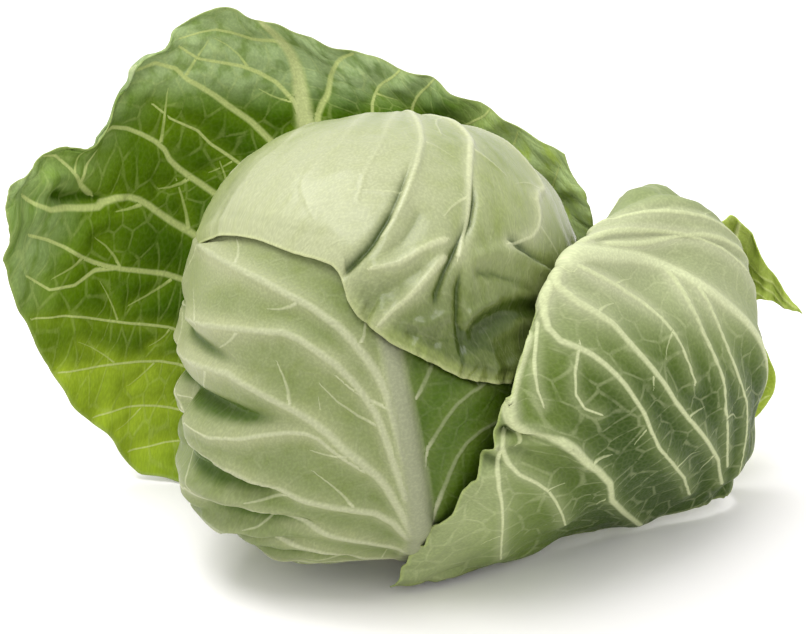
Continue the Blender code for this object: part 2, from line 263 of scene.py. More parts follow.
class Sheet:
    """A rectangular sheet of points, rows from foot to tip and columns from left to right."""

    REACH = 16.0
    FAR = 12.0
    STEP_REACH = 6.0
    STEP_START = 0.9
    ROUND = 1.15
    WEB_SIZE = 96
    WEB_WARP = 0.8
    WEB_SPREAD = 2.6

    def __init__(self, rows: int, columns: int) -> None:
        """Lay out the leaf coordinates.

        Args:
            rows: Faces from foot to tip.
            columns: Faces from left to right.
        """
        self.rows = rows
        self.columns = columns
        u, v = np.meshgrid(np.linspace(0, 1, rows + 1), np.linspace(0, 1, columns + 1), indexing="ij")
        self.u = u.ravel()
        self.v = v.ravel()
        self.base = np.zeros((len(self.u), 3))
        self.normal = np.zeros((len(self.u), 3))
        self.along = np.zeros(len(self.u))
        self.across = np.zeros(len(self.u))
        self.margin = np.zeros(len(self.u))

    def grid(self, values: np.ndarray) -> np.ndarray:
        """The values arranged in rows and columns."""
        return values.reshape(self.rows + 1, self.columns + 1, -1).squeeze()

    def settle(self, points: np.ndarray) -> None:
        """Take the sheet's smooth shape, and measure it.

        Args:
            points: One point in millimetres for each leaf coordinate.
        """
        self.base = points
        self.normal = self.normals(points)
        table = self.grid(points)
        columns = np.linalg.norm(np.diff(table, axis=1), axis=-1)
        rows = np.linalg.norm(np.diff(table, axis=0), axis=-1)
        across = np.concatenate([np.zeros((self.rows + 1, 1)), np.cumsum(columns, axis=1)], axis=1)
        along = np.concatenate([np.zeros((1, self.columns + 1)), np.cumsum(rows, axis=0)], axis=0)
        gap = np.minimum(across, across[:, -1:] - across)
        gap = np.minimum(gap, along[-1:] - along)
        middle = self.columns // 2
        self.across = (across - across[:, middle:middle + 1]).ravel()
        self.along = along.ravel()
        self.margin = gap.ravel()

    def normals(self, points: np.ndarray) -> np.ndarray:
        """Unit normals of the sheet, towards its face.

        Args:
            points: One point for each leaf coordinate.

        Returns:
            One normal for each point.
        """
        table = self.grid(points)
        up = np.gradient(table, axis=0)
        right = np.gradient(table, axis=1)
        return unit(np.cross(right, up).reshape(-1, 3))

    def at(self, values: np.ndarray, places: np.ndarray) -> np.ndarray:
        """Values between the grid's points.

        Args:
            values: One row for each point of the sheet.
            places: Rows of u and v.

        Returns:
            One row of values for each place.
        """
        table = values.reshape(self.rows + 1, self.columns + 1, -1)
        x = np.clip(places[:, 0], 0, 1) * self.rows
        y = np.clip(places[:, 1], 0, 1) * self.columns
        i = np.minimum(x.astype(int), self.rows - 1)
        j = np.minimum(y.astype(int), self.columns - 1)
        fx = (x - i)[:, None]
        fy = (y - j)[:, None]
        near = table[i, j] * (1 - fy) + table[i, j + 1] * fy
        far = table[i + 1, j] * (1 - fy) + table[i + 1, j + 1] * fy
        return near * (1 - fx) + far * fx

    def trace(self, veins: list[Vein]) -> Trace:
        """Find the nearest vein of every point.

        Args:
            veins: The veins, each with a route in leaf coordinates.

        Returns:
            Distances, sides and shades for each point.
        """
        found = self.blank()
        for vein in veins:
            self.trace_one(vein, found)
        return found

    def corners(self, values: np.ndarray) -> np.ndarray:
        """The values at the four corners of each face.

        Args:
            values: One value for each point.

        Returns:
            A table by row, column, up and right.
        """
        table = self.grid(values)
        pairs = np.stack([table[:-1], table[1:]], -1)
        return np.stack([pairs[:, :-1], pairs[:, 1:]], -1)

    def blank(self) -> Trace:
        """A trace without any vein.

        Returns:
            The empty trace.
        """
        count = len(self.u)
        faces = np.full((self.rows, self.columns), self.FAR)
        sides = [np.full((self.rows, self.columns, 2, 2), self.FAR) for _ in range(2)]
        return Trace(faces, *sides, *[np.zeros(count) for _ in range(3)], np.full(count, self.REACH))

    def trace_one(self, vein: Vein, found: Trace) -> None:
        """Add one vein to the trace.

        Args:
            vein: The vein.
            found: The trace so far, which this changes.
        """
        line = self.at(self.base, vein.stops())
        low = line.min(0) - self.REACH
        high = line.max(0) + self.REACH
        near = np.nonzero(((self.base > low) & (self.base < high)).all(1))[0]
        if not len(near):
            return
        share = np.linspace(1, vein.tip, len(line))
        half = 0.5 * vein.width * share
        start = line[:-1]
        edge = np.diff(line, axis=0)
        offset = self.base[near][:, None] - start[None]
        t = np.clip((offset * edge).sum(-1) / np.maximum((edge * edge).sum(-1), NEAR_ZERO), 0, 1)
        gap = offset - t[..., None] * edge
        away = np.linalg.norm(gap, axis=-1)
        best = away.argmin(1)
        rows = np.arange(len(near))
        away = away[rows, best]
        t = t[rows, best]
        width = half[best] * (1 - t) + half[best + 1] * t
        side = np.sign((np.cross(self.normal[near], edge[best]) * gap[rows, best]).sum(-1))
        scaled = away / width
        height = vein.rise * np.exp(-(away / (self.ROUND * width + 0.3)) ** 2) * (width / half[0]) ** 0.5
        if vein.step:
            lip = np.exp(-(away / self.STEP_REACH) ** 2) * (1 - np.exp(-(away / self.STEP_START) ** 2))
            height = height + vein.step * side * lip * share[best]
        if vein.ends:
            spot = (best + t) / (len(line) - 1)
            height = height * smooth(spot / vein.ends) * smooth((1 - spot) / vein.ends)
        stronger = np.abs(height) > np.abs(found.ridge[near])
        found.ridge[near] = np.where(stronger, height, found.ridge[near])
        found.away[near] = np.minimum(found.away[near], away + 1.5 * (1 - min(vein.width, 2.0) / 2.0))
        if vein.pale <= 0:
            return
        loose = away / (width + 1.0)
        fade = np.clip(loose - 1.2, 0, 1)
        found.pale[near] = np.maximum(found.pale[near], vein.pale * (1 - fade))
        fade = np.clip(2 * scaled - 1.6, 0, 1)
        found.white[near] = np.maximum(found.white[near], vein.white * (1 - fade))
        plain, signed, gap = (np.full(len(self.u), self.FAR) for _ in range(3))
        plain[near] = np.minimum(scaled, self.FAR)
        signed[near] = np.where(side == 0, 1, side) * plain[near]
        gap[near] = loose
        mean = self.corners(plain).mean((2, 3))
        better = mean < found.share
        found.share[better] = mean[better]
        found.side[better] = self.corners(signed)[better]
        found.gap[better] = self.corners(gap)[better]

    def web(self, cell: float, seed: int) -> tuple[np.ndarray, np.ndarray]:
        """A net of small veins round cells of about one size.

        Args:
            cell: Size of a cell in millimetres.
            seed: Which net it is.

        Returns:
            Distances from the net at the points, and the same with a side at the faces' corners.
        """
        spread = self.WEB_SPREAD * cell
        x, y = (
            run / cell + self.WEB_WARP * value_noise(self.along / spread, self.across / spread, seed + k)
            + 20 * k
            for k, run in ((1, self.along), (2, self.across))
        )
        jitter = np.random.default_rng(SEED + seed).uniform(0.1, 0.9, (self.WEB_SIZE, self.WEB_SIZE, 2))
        spots = np.stack([x, y], -1)
        first, second = self.two_sites(spots, jitter)
        apart = np.linalg.norm(second - spots, axis=-1) - np.linalg.norm(first - spots, axis=-1)
        corner = np.stack([self.corners(x), self.corners(y)], -1)
        first, second = self.two_sites(corner.mean((2, 3)).reshape(-1, 2), jitter)
        near = corner - first.reshape(self.rows, self.columns, 1, 1, 2)
        far = corner - second.reshape(self.rows, self.columns, 1, 1, 2)
        side = np.linalg.norm(far, axis=-1) - np.linalg.norm(near, axis=-1)
        return 0.5 * cell * apart, 0.5 * cell * side

    @staticmethod
    def two_sites(spots: np.ndarray, jitter: np.ndarray) -> tuple[np.ndarray, np.ndarray]:
        """The two nearest cell centres of each spot.

        Args:
            spots: Rows of two coordinates, in cells.
            jitter: Where each cell's centre lies in its square.

        Returns:
            The nearest centres and the next ones.
        """
        square = np.floor(spots).astype(int)
        size = len(jitter)
        places = []
        for step in ((a, b) for a in (-1, 0, 1) for b in (-1, 0, 1)):
            name = square + step
            places.append(jitter[name[:, 0] % size, name[:, 1] % size] + name)
        places = np.stack(places)
        order = np.argsort(np.linalg.norm(places - spots, axis=-1), axis=0)
        rows = np.arange(len(spots))
        return places[order[0], rows], places[order[1], rows]


@dataclass(frozen=True)
class TwigHabit:
    """How twigs grow: turns and bends in degrees, lengths and gaps as shares of the usual ones."""

    turn: tuple[float, float] = (42, 68)
    bend: tuple[float, float] = (5, 30)
    length: tuple[float, float] = (0.55, 1.25)
    gap: tuple[float, float] = (0.7, 1.3)
    parts: int = 3
    look_ahead: float = 1.5
    small_step: float = 0.004
    clearance: float = 2.5
    edge: float = 0.005


TWIG = TwigHabit()


def twigs_of(
    sheet: Sheet, veins: list[Vein], away: np.ndarray, spacing: float, reach: float, seed: int
) -> list[Vein]:
    """Short veins that leave the main ones on both sides and end clear of them.

    Args:
        sheet: The sheet that they lie on.
        veins: The main veins.
        away: Distance of each point of the sheet from the main veins, in millimetres.
        spacing: Distance between twigs in millimetres.
        reach: Usual length of a twig in millimetres.
        seed: Which set it is.

    Returns:
        The twigs, as veins.
    """
    rng = np.random.default_rng(SEED + seed)
    step = TWIG.small_step
    twigs: list[Vein] = []
    for vein in veins:
        if not vein.twigs:
            continue
        stops = vein.stops(0.01)
        line = sheet.at(sheet.base, stops)
        run = np.concatenate([[0], np.cumsum(np.linalg.norm(np.diff(line, axis=0), axis=1))])
        side = rng.choice([-1.0, 1.0])
        place = spacing * rng.uniform(0.5, 1.0)
        while place < run[-1] - 0.3 * spacing:
            at, ahead = (
                np.array([np.interp(spot, run, stops[:, k]) for k in range(2)])
                for spot in (place, place + TWIG.look_ahead)
            )
            here = sheet.at(sheet.base, at[None])[0]
            du = (sheet.at(sheet.base, (at + [step, 0])[None])[0] - here) / step
            dv = (sheet.at(sheet.base, (at + [0, step])[None])[0] - here) / step
            scale = np.array([max(np.linalg.norm(du), 20.0), max(np.linalg.norm(dv), 20.0)])
            forward = (ahead - at) * scale
            forward /= max(np.linalg.norm(forward), NEAR_ZERO)
            turn = side * math.radians(rng.uniform(*TWIG.turn))
            bend = -side * math.radians(rng.uniform(*TWIG.bend))
            length = reach * rng.uniform(*TWIG.length)
            route = [tuple(at)]
            spot = at.copy()
            for part in range(TWIG.parts):
                angle = turn + bend * part / 2
                c, s = math.cos(angle), math.sin(angle)
                way = np.array([c * forward[0] - s * forward[1], s * forward[0] + c * forward[1]])
                spot = spot + way * length / TWIG.parts / scale
                route.append((float(spot[0]), float(spot[1])))
            low, high = (2 * TWIG.edge, TWIG.edge), 1 - TWIG.edge
            inside = all(low[0] < r[0] < high and low[1] < r[1] < high for r in route)
            clear = sheet.at(away[:, None], np.asarray(route[2:])).min() > TWIG.clearance
            if inside and clear:
                twigs.append(
                    Vein(tuple(route), width=0.5 * vein.width, tip=0.3, rise=0.4 * vein.rise,
                         pale=0.6 * vein.pale, twigs=False)
                )
            side = -side
            place += spacing * rng.uniform(*TWIG.gap)
    return twigs


def write_points(mesh: bpy.types.Mesh, values: dict[str, np.ndarray], domain: str = "POINT") -> None:
    """Write named shares to a mesh.

    Args:
        mesh: The mesh.
        values: One number for each point or face corner, by name.
        domain: Whether the values go to points or to face corners.
    """
    for key, value in values.items():
        layer = mesh.attributes.new(key, "FLOAT", domain)
        layer.data.foreach_set("value", value.ravel().astype(np.float32))


def corner_points(mesh: bpy.types.Mesh) -> np.ndarray:
    """The point at each face corner of a mesh."""
    corners = np.zeros(len(mesh.loops), int)
    mesh.loops.foreach_get("vertex_index", corners)
    return corners


def write_map(mesh: bpy.types.Mesh, chart: np.ndarray) -> None:
    """Write the flat map of a mesh.

    Args:
        mesh: The mesh.
        chart: Places in millimetres, one row for each face corner.
    """
    layer = mesh.uv_layers.new(name=LeafPiece.MAP)
    layer.data.foreach_set("uv", (chart * LeafPiece.MAP_SCALE).astype(np.float32).ravel())


def mesh_of(form: bmesh.types.BMesh, name: str) -> bpy.types.Mesh:
    """A mesh with the shape of a bmesh, which is freed.

    Args:
        form: The shape.
        name: The mesh's name.

    Returns:
        The new mesh.
    """
    mesh = bpy.data.meshes.new(name)
    form.to_mesh(mesh)
    form.free()
    return mesh


def in_scene(mesh: bpy.types.Mesh) -> bpy.types.Object:
    """An object for a mesh, in the scene."""
    item = bpy.data.objects.new(mesh.name, mesh)
    bpy.context.scene.collection.objects.link(item)
    return item


def stand_in(item: bpy.types.Object, node: str) -> bpy.types.Object:
    """Put a finished piece in place of its CAD node.

    Args:
        item: The piece.
        node: The CAD node's name.

    Returns:
        The piece.
    """
    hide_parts(node)
    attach(item, BODY)
    log.info("%s: %d points", item.name, len(item.data.vertices))
    return item


class NodeSketch:
    """A short way to draw a material's nodes."""

    def __init__(self, name: str) -> None:
        """Start a material with its shader.

        Args:
            name: The material's name.
        """
        self.material = bpy.data.materials.new(name)
        self.material.use_nodes = True
        self.tree = self.material.node_tree
        self.shader = self.tree.nodes["Principled BSDF"]

    def node(self, kind: str, **settings: object) -> bpy.types.Node:
        """Add a node.

        Args:
            kind: The node's type name.
            settings: Its properties.

        Returns:
            The new node.
        """
        made = self.tree.nodes.new(kind)
        for key, value in settings.items():
            setattr(made, key, value)
        return made

    def plug(self, socket: bpy.types.NodeSocket, value: object) -> None:
        """Link an output to a socket, or set the socket's own value.

        Args:
            socket: The socket.
            value: The output or value.
        """
        if isinstance(value, bpy.types.NodeSocket):
            self.tree.links.new(value, socket)
        else:
            socket.default_value = value

    def attribute(self, name: str) -> bpy.types.NodeSocket:
        """The value of a mesh attribute."""
        return self.node("ShaderNodeAttribute", attribute_name=name).outputs["Fac"]

    def place(self, scale: float) -> bpy.types.NodeSocket:
        """The piece's own coordinates in metres, times a scale."""
        spot = self.node("ShaderNodeTexCoord").outputs["Object"]
        return self.scaled(spot, scale)

    def chart(self, scale: float) -> bpy.types.NodeSocket:
        """The leaf's flat map, times a scale."""
        spot = self.node("ShaderNodeUVMap", uv_map=LeafPiece.MAP).outputs["UV"]
        return self.scaled(spot, scale)

    def scaled(self, vector: bpy.types.NodeSocket, scale: object) -> bpy.types.NodeSocket:
        """A vector or colour times a number.

        Args:
            vector: The vector's output.
            scale: A number or its output.

        Returns:
            The scaled output.
        """
        made = self.node("ShaderNodeVectorMath", operation="SCALE")
        self.plug(made.inputs[0], vector)
        self.plug(made.inputs["Scale"], scale)
        return made.outputs["Vector"]

    def shine(self, **levels: float) -> None:
        """Set the shader's own values, such as roughness, by their names with _ for a space."""
        for key, level in levels.items():
            self.shader.inputs[key.replace("_", " ")].default_value = level

    def bump(self, height: bpy.types.NodeSocket, strength: float, reach: float) -> None:
        """Give the shader fine relief.

        Args:
            height: The relief's output.
            strength: Its share, from 0 to 1.
            reach: Height of the relief in metres.
        """
        made = self.node("ShaderNodeBump")
        made.inputs["Strength"].default_value = strength
        made.inputs["Distance"].default_value = reach
        self.plug(made.inputs["Height"], height)
        self.plug(self.shader.inputs["Normal"], made.outputs["Normal"])

    def noise(
        self, vector: bpy.types.NodeSocket, scale: float, detail: float = 3.0, flat: bool = False
    ) -> bpy.types.NodeSocket:
        """Noise from 0 to 1.

        Args:
            vector: Where it is read.
            scale: Lumps to each unit.
            detail: Octaves.
            flat: Whether only the first two coordinates count.

        Returns:
            The noise's output.
        """
        made = self.node("ShaderNodeTexNoise", noise_dimensions="2D" if flat else "3D")
        self.plug(made.inputs["Vector"], vector)
        made.inputs["Scale"].default_value = scale
        made.inputs["Detail"].default_value = detail
        return made.outputs["Fac"]

    def cell_edges(self, vector: bpy.types.NodeSocket, scale: float) -> bpy.types.NodeSocket:
        """Distance from the walls of irregular cells.

        Args:
            vector: Where it is read.
            scale: Cells to each unit.

        Returns:
            The distance's output.
        """
        made = self.node("ShaderNodeTexVoronoi", feature="DISTANCE_TO_EDGE", voronoi_dimensions="2D")
        self.plug(made.inputs["Vector"], vector)
        made.inputs["Scale"].default_value = scale
        return made.outputs["Distance"]

    def sum_of(self, operation: str, first: object, second: object = 0.0) -> bpy.types.NodeSocket:
        """Arithmetic on two values.

        Args:
            operation: Blender's name for it.
            first: First value or output.
            second: Second value or output.

        Returns:
            The result's output.
        """
        made = self.node("ShaderNodeMath", operation=operation)
        self.plug(made.inputs[0], first)
        self.plug(made.inputs[1], second)
        return made.outputs[0]

    def ease(
        self, value: object, low: float, high: float, start: float = 0.0, end: float = 1.0
    ) -> bpy.types.NodeSocket:
        """Ease from a start value at low to an end value at high.

        Args:
            value: What is read.
            low: Where the easing begins.
            high: Where it ends.
            start: The result at low.
            end: The result at high.

        Returns:
            The eased output.
        """
        made = self.node("ShaderNodeMapRange", interpolation_type="SMOOTHSTEP")
        self.plug(made.inputs["Value"], value)
        for name, number in (("From Min", low), ("From Max", high), ("To Min", start), ("To Max", end)):
            made.inputs[name].default_value = number
        return made.outputs["Result"]

    def blend(self, share: object, first: object, second: object,
              kind: str = "MIX") -> bpy.types.NodeSocket:
        """Mix two colours.

        Args:
            share: How much of the second shows.
            first: First colour or output.
            second: Second colour or output.
            kind: Blender's name for the mix.

        Returns:
            The mixed colour's output.
        """
        made = self.node("ShaderNodeMix", data_type="RGBA", blend_type=kind)
        self.plug(made.inputs["Factor"], share)
        self.plug(made.inputs[6], first)
        self.plug(made.inputs[7], second)
        return made.outputs[2]


@dataclass(frozen=True)
class LeafFinish:
    """Colours and gloss of one side of a leaf."""

    name: str
    blade: tuple[int, int, int]
    deep: tuple[int, int, int]
    # The pale colour serves both the leaf's paler parts and painted light on lit ridges and faces.
    pale: tuple[int, int, int]
    bloom_and_painted_light: tuple[int, int, int]
    vein: tuple[int, int, int]
    rib: tuple[int, int, int]
    rim: tuple[int, int, int]
    # Colour of the painted shade in creases, pits, basins and low or turned-away parts.
    painted_shade: tuple[int, int, int]
    web_share: float = 0.4
    fine_share: float = 0.2
    bloom_share: float = 0.8
    rim_share: float = 0.5
    roughness: float = 0.42
    shine: float = 0.35
    coat: float = 0.0
    coat_roughness: float = 0.22
    bump: float = 0.35
    cell_scale: float = 300.0
    edge: tuple[float, float] = (0.4, 1.4)

    def material(self) -> bpy.types.Material:
        """Draw the finish as a node material.

        Returns:
            The material, which reads the attributes and the map that LeafPiece writes.
        """
        sketch = NodeSketch(self.name)
        chart = sketch.chart(1.0)
        wide = sketch.noise(sketch.place(1.0), 28.0, 2.0)
        middle = sketch.noise(chart, 120.0, 3.0, flat=True)
        fine = sketch.noise(chart, 800.0, 2.0, flat=True)
        colour = sketch.blend(sketch.ease(wide, 0.35, 0.65), linear(self.blade), linear(self.deep))
        mottle = sketch.ease(middle, 0.38, 0.7)
        colour = sketch.blend(sketch.sum_of("MULTIPLY", mottle, 0.35), colour, linear(self.blade))
        # Painted light and shade: the pale colour stands for lamp light on ridges, tops and lit faces, and
        # the shade colour for shade in creases, pits and low parts.
        colour = sketch.blend(sketch.attribute("tone_and_painted_light"), colour, linear(self.pale))
        colour = sketch.blend(sketch.attribute("painted_shade"), colour, linear(self.painted_shade))
        patchy = sketch.ease(middle, 0.2, 0.62, 0.35, 1.0)
        # The waxy colour is partly the leaf's waxy film and partly painted light.
        bloom_and_painted_light = sketch.sum_of("MULTIPLY", sketch.attribute("bloom_and_painted_light"), patchy)
        bloom_and_painted_light = sketch.sum_of("MULTIPLY", bloom_and_painted_light, self.bloom_share)
        colour = sketch.blend(bloom_and_painted_light, colour, linear(self.bloom_and_painted_light))
        speck = sketch.ease(fine, 0.35, 0.75, 0.93, 1.09)

        cells = sketch.ease(sketch.cell_edges(chart, self.cell_scale), 0.0, 0.3, 1.0, 0.0)
        thread = sketch.sum_of("MULTIPLY", cells, self.fine_share)
        colour = sketch.blend(thread, colour, linear(self.vein))
        web = self.line(sketch, "web_side", "web_gap", (0.2, 1.0), (1.0, 1.5))
        web = sketch.sum_of("MULTIPLY", web, sketch.ease(middle, 0.3, 0.6, 0.25, 1.0))
        colour = sketch.blend(sketch.sum_of("MULTIPLY", web, self.web_share), colour, linear(self.vein))
        vein = self.line(sketch, "vein_side", "vein_gap", self.edge, (1.0, 1.35))
        shown = sketch.sum_of("MULTIPLY", vein, sketch.attribute("vein_pale"))
        ink = sketch.blend(sketch.attribute("vein_white"), linear(self.vein), linear(self.rib))
        colour = sketch.blend(shown, colour, ink)
        rim = sketch.sum_of("MULTIPLY", sketch.attribute("rim"), self.rim_share)
        colour = sketch.blend(rim, colour, linear(self.rim))
        colour = sketch.scaled(colour, speck)
        sketch.plug(sketch.shader.inputs["Base Color"], colour)

        gloss = sketch.ease(fine, 0.3, 0.7, self.roughness - 0.07, self.roughness + 0.1)
        sketch.plug(sketch.shader.inputs["Roughness"], gloss)
        height = sketch.sum_of("MULTIPLY", shown, 0.5)
        for layer, share in ((web, 0.3), (middle, 0.6), (fine, 0.12)):
            height = sketch.sum_of("ADD", height, sketch.sum_of("MULTIPLY", layer, share))
        sketch.bump(height, self.bump, 0.0012)
        sketch.shine(
            Specular_IOR_Level=self.shine, Coat_Weight=self.coat, Coat_Roughness=self.coat_roughness,
        )
        return sketch.material

    def line(
        self, sketch: NodeSketch, side: str, gap: str, core: tuple[float, float], limit: tuple[float, float]
    ) -> bpy.types.NodeSocket:
        """A thin line where a signed distance passes zero close to its vein.

        Args:
            sketch: The material being drawn.
            side: Attribute with the signed distance.
            gap: Attribute with the plain distance.
            core: Distances where the line starts and ends to fade.
            limit: Plain distances past which there is no line.

        Returns:
            The line's share, from 0 to 1.
        """
        signed = sketch.sum_of("ABSOLUTE", sketch.attribute(side))
        inner = sketch.ease(signed, core[0], core[1], 1.0, 0.0)
        outer = sketch.ease(sketch.attribute(gap), limit[0], limit[1], 1.0, 0.0)
        return sketch.sum_of("MULTIPLY", inner, outer)


@dataclass
class LeafPiece:
    """A leaf as one thin solid, which stands for a CAD node."""

    MAP = "leaf_map"
    MAP_SCALE = 0.001
    NOTCHES = 24
    FINE_NOTCHES = 70
    CUT = 0.006
    FINE_CUT = 0.002
    CUT_REACH = 0.12
    RIB_REACH = 7.0
    QUIET_REACH = 3.0
    CELL_EDGE = 0.28

    name: str = "leaf"
    node: str = "head"
    slot: Slot = Slot.LOOSE
    rows: int = 200
    columns: int = 200
    blade: float = 1.1
    rim_blade: float = 0.55
    rim_width: float = 4.0
    rib_extra: float = 3.0
    swell: float = 1.6
    swell_reach: float = 6.0
    web_cell: float = 13.0
    web_swell: float = 0.4
    lay: Lay = Lay.BLISTERED
    floor_gap: float = 0.5
    seed: int = 1
    face: LeafFinish | None = None
    back: LeafFinish | None = None
    veins: list[Vein] = field(default_factory=list)
    nudges: tuple = ()
    sheet: Sheet | None = None
    mark: Trace | None = None
    main_away: np.ndarray | None = None
    web_gap: np.ndarray | None = None
    web_side: np.ndarray | None = None
    fold: np.ndarray | None = None
    order: np.ndarray | None = None

    def outline(self, u: np.ndarray, v: np.ndarray) -> tuple[np.ndarray, np.ndarray]:
        """Pull the margins in by small uneven amounts.

        Args:
            u: Places from foot to tip.
            v: Places from left to right.

        Returns:
            The moved places.
        """
        def share(place: np.ndarray, lumps: float, lane: float, which: int) -> np.ndarray:
            """Noise from 0 to 1 along a margin."""
            return 0.5 + 0.5 * value_noise(place * lumps, np.full_like(place, lane), self.seed + which)

        notch = share(u, self.NOTCHES, 3.5, 40)
        fine = self.FINE_CUT * share(u, self.FINE_NOTCHES, 7.5, 41)
        left = self.CUT * notch + fine
        right = self.CUT * (1 - notch) + fine
        top = self.CUT * share(v, self.NOTCHES, 1.5, 42)
        top += self.FINE_CUT * share(v, self.FINE_NOTCHES, 5.5, 43)
        reach = self.CUT_REACH
        v_moved = v + left * (1 - smooth(v / reach)) - right * (1 - smooth((1 - v) / reach))
        return u - top * (1 - smooth((1 - u) / reach)), v_moved

    def surface(self, u: np.ndarray, v: np.ndarray) -> np.ndarray:
        """The smooth middle of the blade, in millimetres."""
        raise NotImplementedError

    def lifted(self, height: np.ndarray) -> np.ndarray:
        """The middle of the blade with its relief.

        Args:
            height: Relief towards the sheet's face, in millimetres.

        Returns:
            Points in millimetres.
        """
        return self.sheet.base + self.sheet.normal * height[:, None]

    def folds(self) -> list[Vein]:
        """Folds and creases, which lift or sink the blade without paling it."""
        return []

    def relief(self) -> np.ndarray:
        """Relief that belongs to this leaf alone."""
        return np.zeros(len(self.sheet.u))

    def shades(self) -> dict[str, np.ndarray]:
        """Shares of the pale colour and the waxy colour, both partly painted light, and of the painted
        shade.
        """
        return {}

    def twig_plan(self) -> tuple[float, float]:
        """Spacing and length of the twigs, in millimetres."""
        return 28.0, 22.0

    def measure(self) -> np.ndarray:
        """Work out the sheet's points.

        Returns:
            Points of the middle of the blade, in millimetres.
        """
        self.sheet = Sheet(self.rows, self.columns)
        sheet = self.sheet
        sheet.settle(self.pushed(self.surface(*self.outline(sheet.u, sheet.v))))
        self.mark = sheet.trace(self.veins)
        self.main_away = self.mark.away.copy()
        spacing, reach = self.twig_plan()
        for twig in twigs_of(sheet, self.veins, self.main_away, spacing, reach, self.seed):
            sheet.trace_one(twig, self.mark)
        away = self.mark.away if self.lay is Lay.BLISTERED else self.main_away
        swell = 1 - np.exp(-(away / self.swell_reach) ** 2)
        self.web_gap, self.web_side = sheet.web(self.web_cell, self.seed)
        cell = smooth(self.web_gap / (self.CELL_EDGE * self.web_cell))
        quiet = 1 - np.exp(-(self.mark.away / self.QUIET_REACH) ** 2)
        height = self.swell * (swell - 0.5) + self.web_swell * cell * quiet
        height += self.lay.value * self.mark.ridge
        folds = self.folds()
        self.fold = self.fold_height(folds) if folds else np.zeros(len(sheet.u))
        return self.lifted(height + self.fold + self.relief())

    def pushed(self, points: np.ndarray) -> np.ndarray:
        """Move parts of the blade sideways and up, as the camera sees them.

        Args:
            points: The blade's points in millimetres.

        Returns:
            The moved points.
        """
        if not self.nudges:
            return points
        table = np.asarray(self.nudges, float)
        centres = Sheet(self.rows, self.columns).at(points, table[:, :2])
        gap = np.linalg.norm(points[:, None] - centres[None], axis=-1)
        share = np.exp(-(gap / table[:, 4]) ** 2)
        tilt = math.radians(VIEW_TILT)
        moves = table[:, 2:4] @ np.array([[1, 0, 0], [0, math.sin(tilt), math.cos(tilt)]])
        return points + (share @ moves) / np.maximum(share.sum(1), 1)[:, None]

    def fold_height(self, folds: list[Vein]) -> np.ndarray:
        """Height of the folds, each with a soft round profile.

        Args:
            folds: The folds.

        Returns:
            Height in millimetres.
        """
        total = np.zeros(len(self.sheet.u))
        for fold in folds:
            found = self.sheet.blank()
            self.sheet.trace_one(fold, found)
            total += found.ridge
        return total

    def thickness(self) -> np.ndarray:
        """Thickness of the blade, more along the middle rib and the veins and less at the margin.

        Returns:
            Millimetres at each point.
        """
        sheet = self.sheet
        rim = band(sheet.margin, 0.0, self.rim_width)
        blade = self.rim_blade + (self.blade - self.rim_blade) * rim
        middle = np.exp(-(sheet.across / self.RIB_REACH) ** 2) * (1 - sheet.u) ** 1.2
        return blade + self.rib_extra * middle + 0.5 * np.abs(self.mark.ridge)

    def build(self) -> bpy.types.Object:
        """Make the leaf, and put it in place of its CAD node.

        Returns:
            The leaf's object.
        """
        points = self.measure()
        thick = self.thickness()
        points[:, 2] = np.maximum(points[:, 2], self.floor_gap + 0.5 * thick)
        item = self.mesh_object(points)
        self.thicken(item, thick)
        item.data.materials.append(self.face.material())
        if self.back is not None:
            item.data.materials.append(self.back.material())
            item.modifiers["blade"].material_offset = 1
        return stand_in(item, self.node)

    def mesh_object(self, points: np.ndarray) -> bpy.types.Object:
        """A sheet object with its attributes and its flat map.

        Args:
            points: Points of the sheet, in millimetres.

        Returns:
            The new object.
        """
        sheet = self.sheet
        form = bmesh.new()
        bmesh.ops.create_grid(form, x_segments=self.columns, y_segments=self.rows, size=0.5)
        flat = np.array([vert.co[:2] for vert in form.verts])
        mesh = mesh_of(form, self.name)
        i = np.rint((flat[:, 1] + 0.5) * self.rows).astype(int)
        j = np.rint((flat[:, 0] + 0.5) * self.columns).astype(int)
        order = i * (self.columns + 1) + j
        self.order = order
        mesh.vertices.foreach_set("co", (points[order] * MM).ravel())
        values = {
            "vein_pale": self.mark.pale, "vein_white": self.mark.white, "web_gap": self.web_gap,
            "rim": 1 - band(sheet.margin, 0.3, 2.0), "tone_and_painted_light": np.zeros(len(order)),
            "bloom_and_painted_light": np.zeros(len(order)), "painted_shade": np.zeros(len(order)),
        }
        values.update(self.shades())
        write_points(mesh, {key: value[order] for key, value in values.items()})
        corners = corner_points(mesh)
        row, column = np.divmod(order[corners].reshape(-1, 4), self.columns + 1)
        face_row = row.min(1, keepdims=True)
        face_column = column.min(1, keepdims=True)
        spot = (face_row, face_column, row - face_row, column - face_column)
        sides = {"vein_gap": self.mark.gap, "vein_side": self.mark.side, "web_side": self.web_side}
        write_points(mesh, {key: value[spot] for key, value in sides.items()}, "CORNER")
        write_map(mesh, np.stack([sheet.across, sheet.along], 1)[order][corners])
        mesh.shade_smooth()
        mesh.update()
        return in_scene(mesh)

    def thicken(self, item: bpy.types.Object, thick: np.ndarray) -> None:
        """Give the sheet its thickness.

        Args:
            item: The sheet's object.
            thick: Thickness at each point, in millimetres.
        """
        most = float(thick.max())
        group = item.vertex_groups.new(name="blade")
        for index, value in enumerate(thick[self.order]):
            group.add([index], float(value) / most, "REPLACE")
        shell = item.modifiers.new("blade", "SOLIDIFY")
        shell.thickness = most * MM
        shell.offset = 0.0
        shell.vertex_group = group.name
        shell.thickness_vertex_group = 0.0
        shell.use_even_offset = False


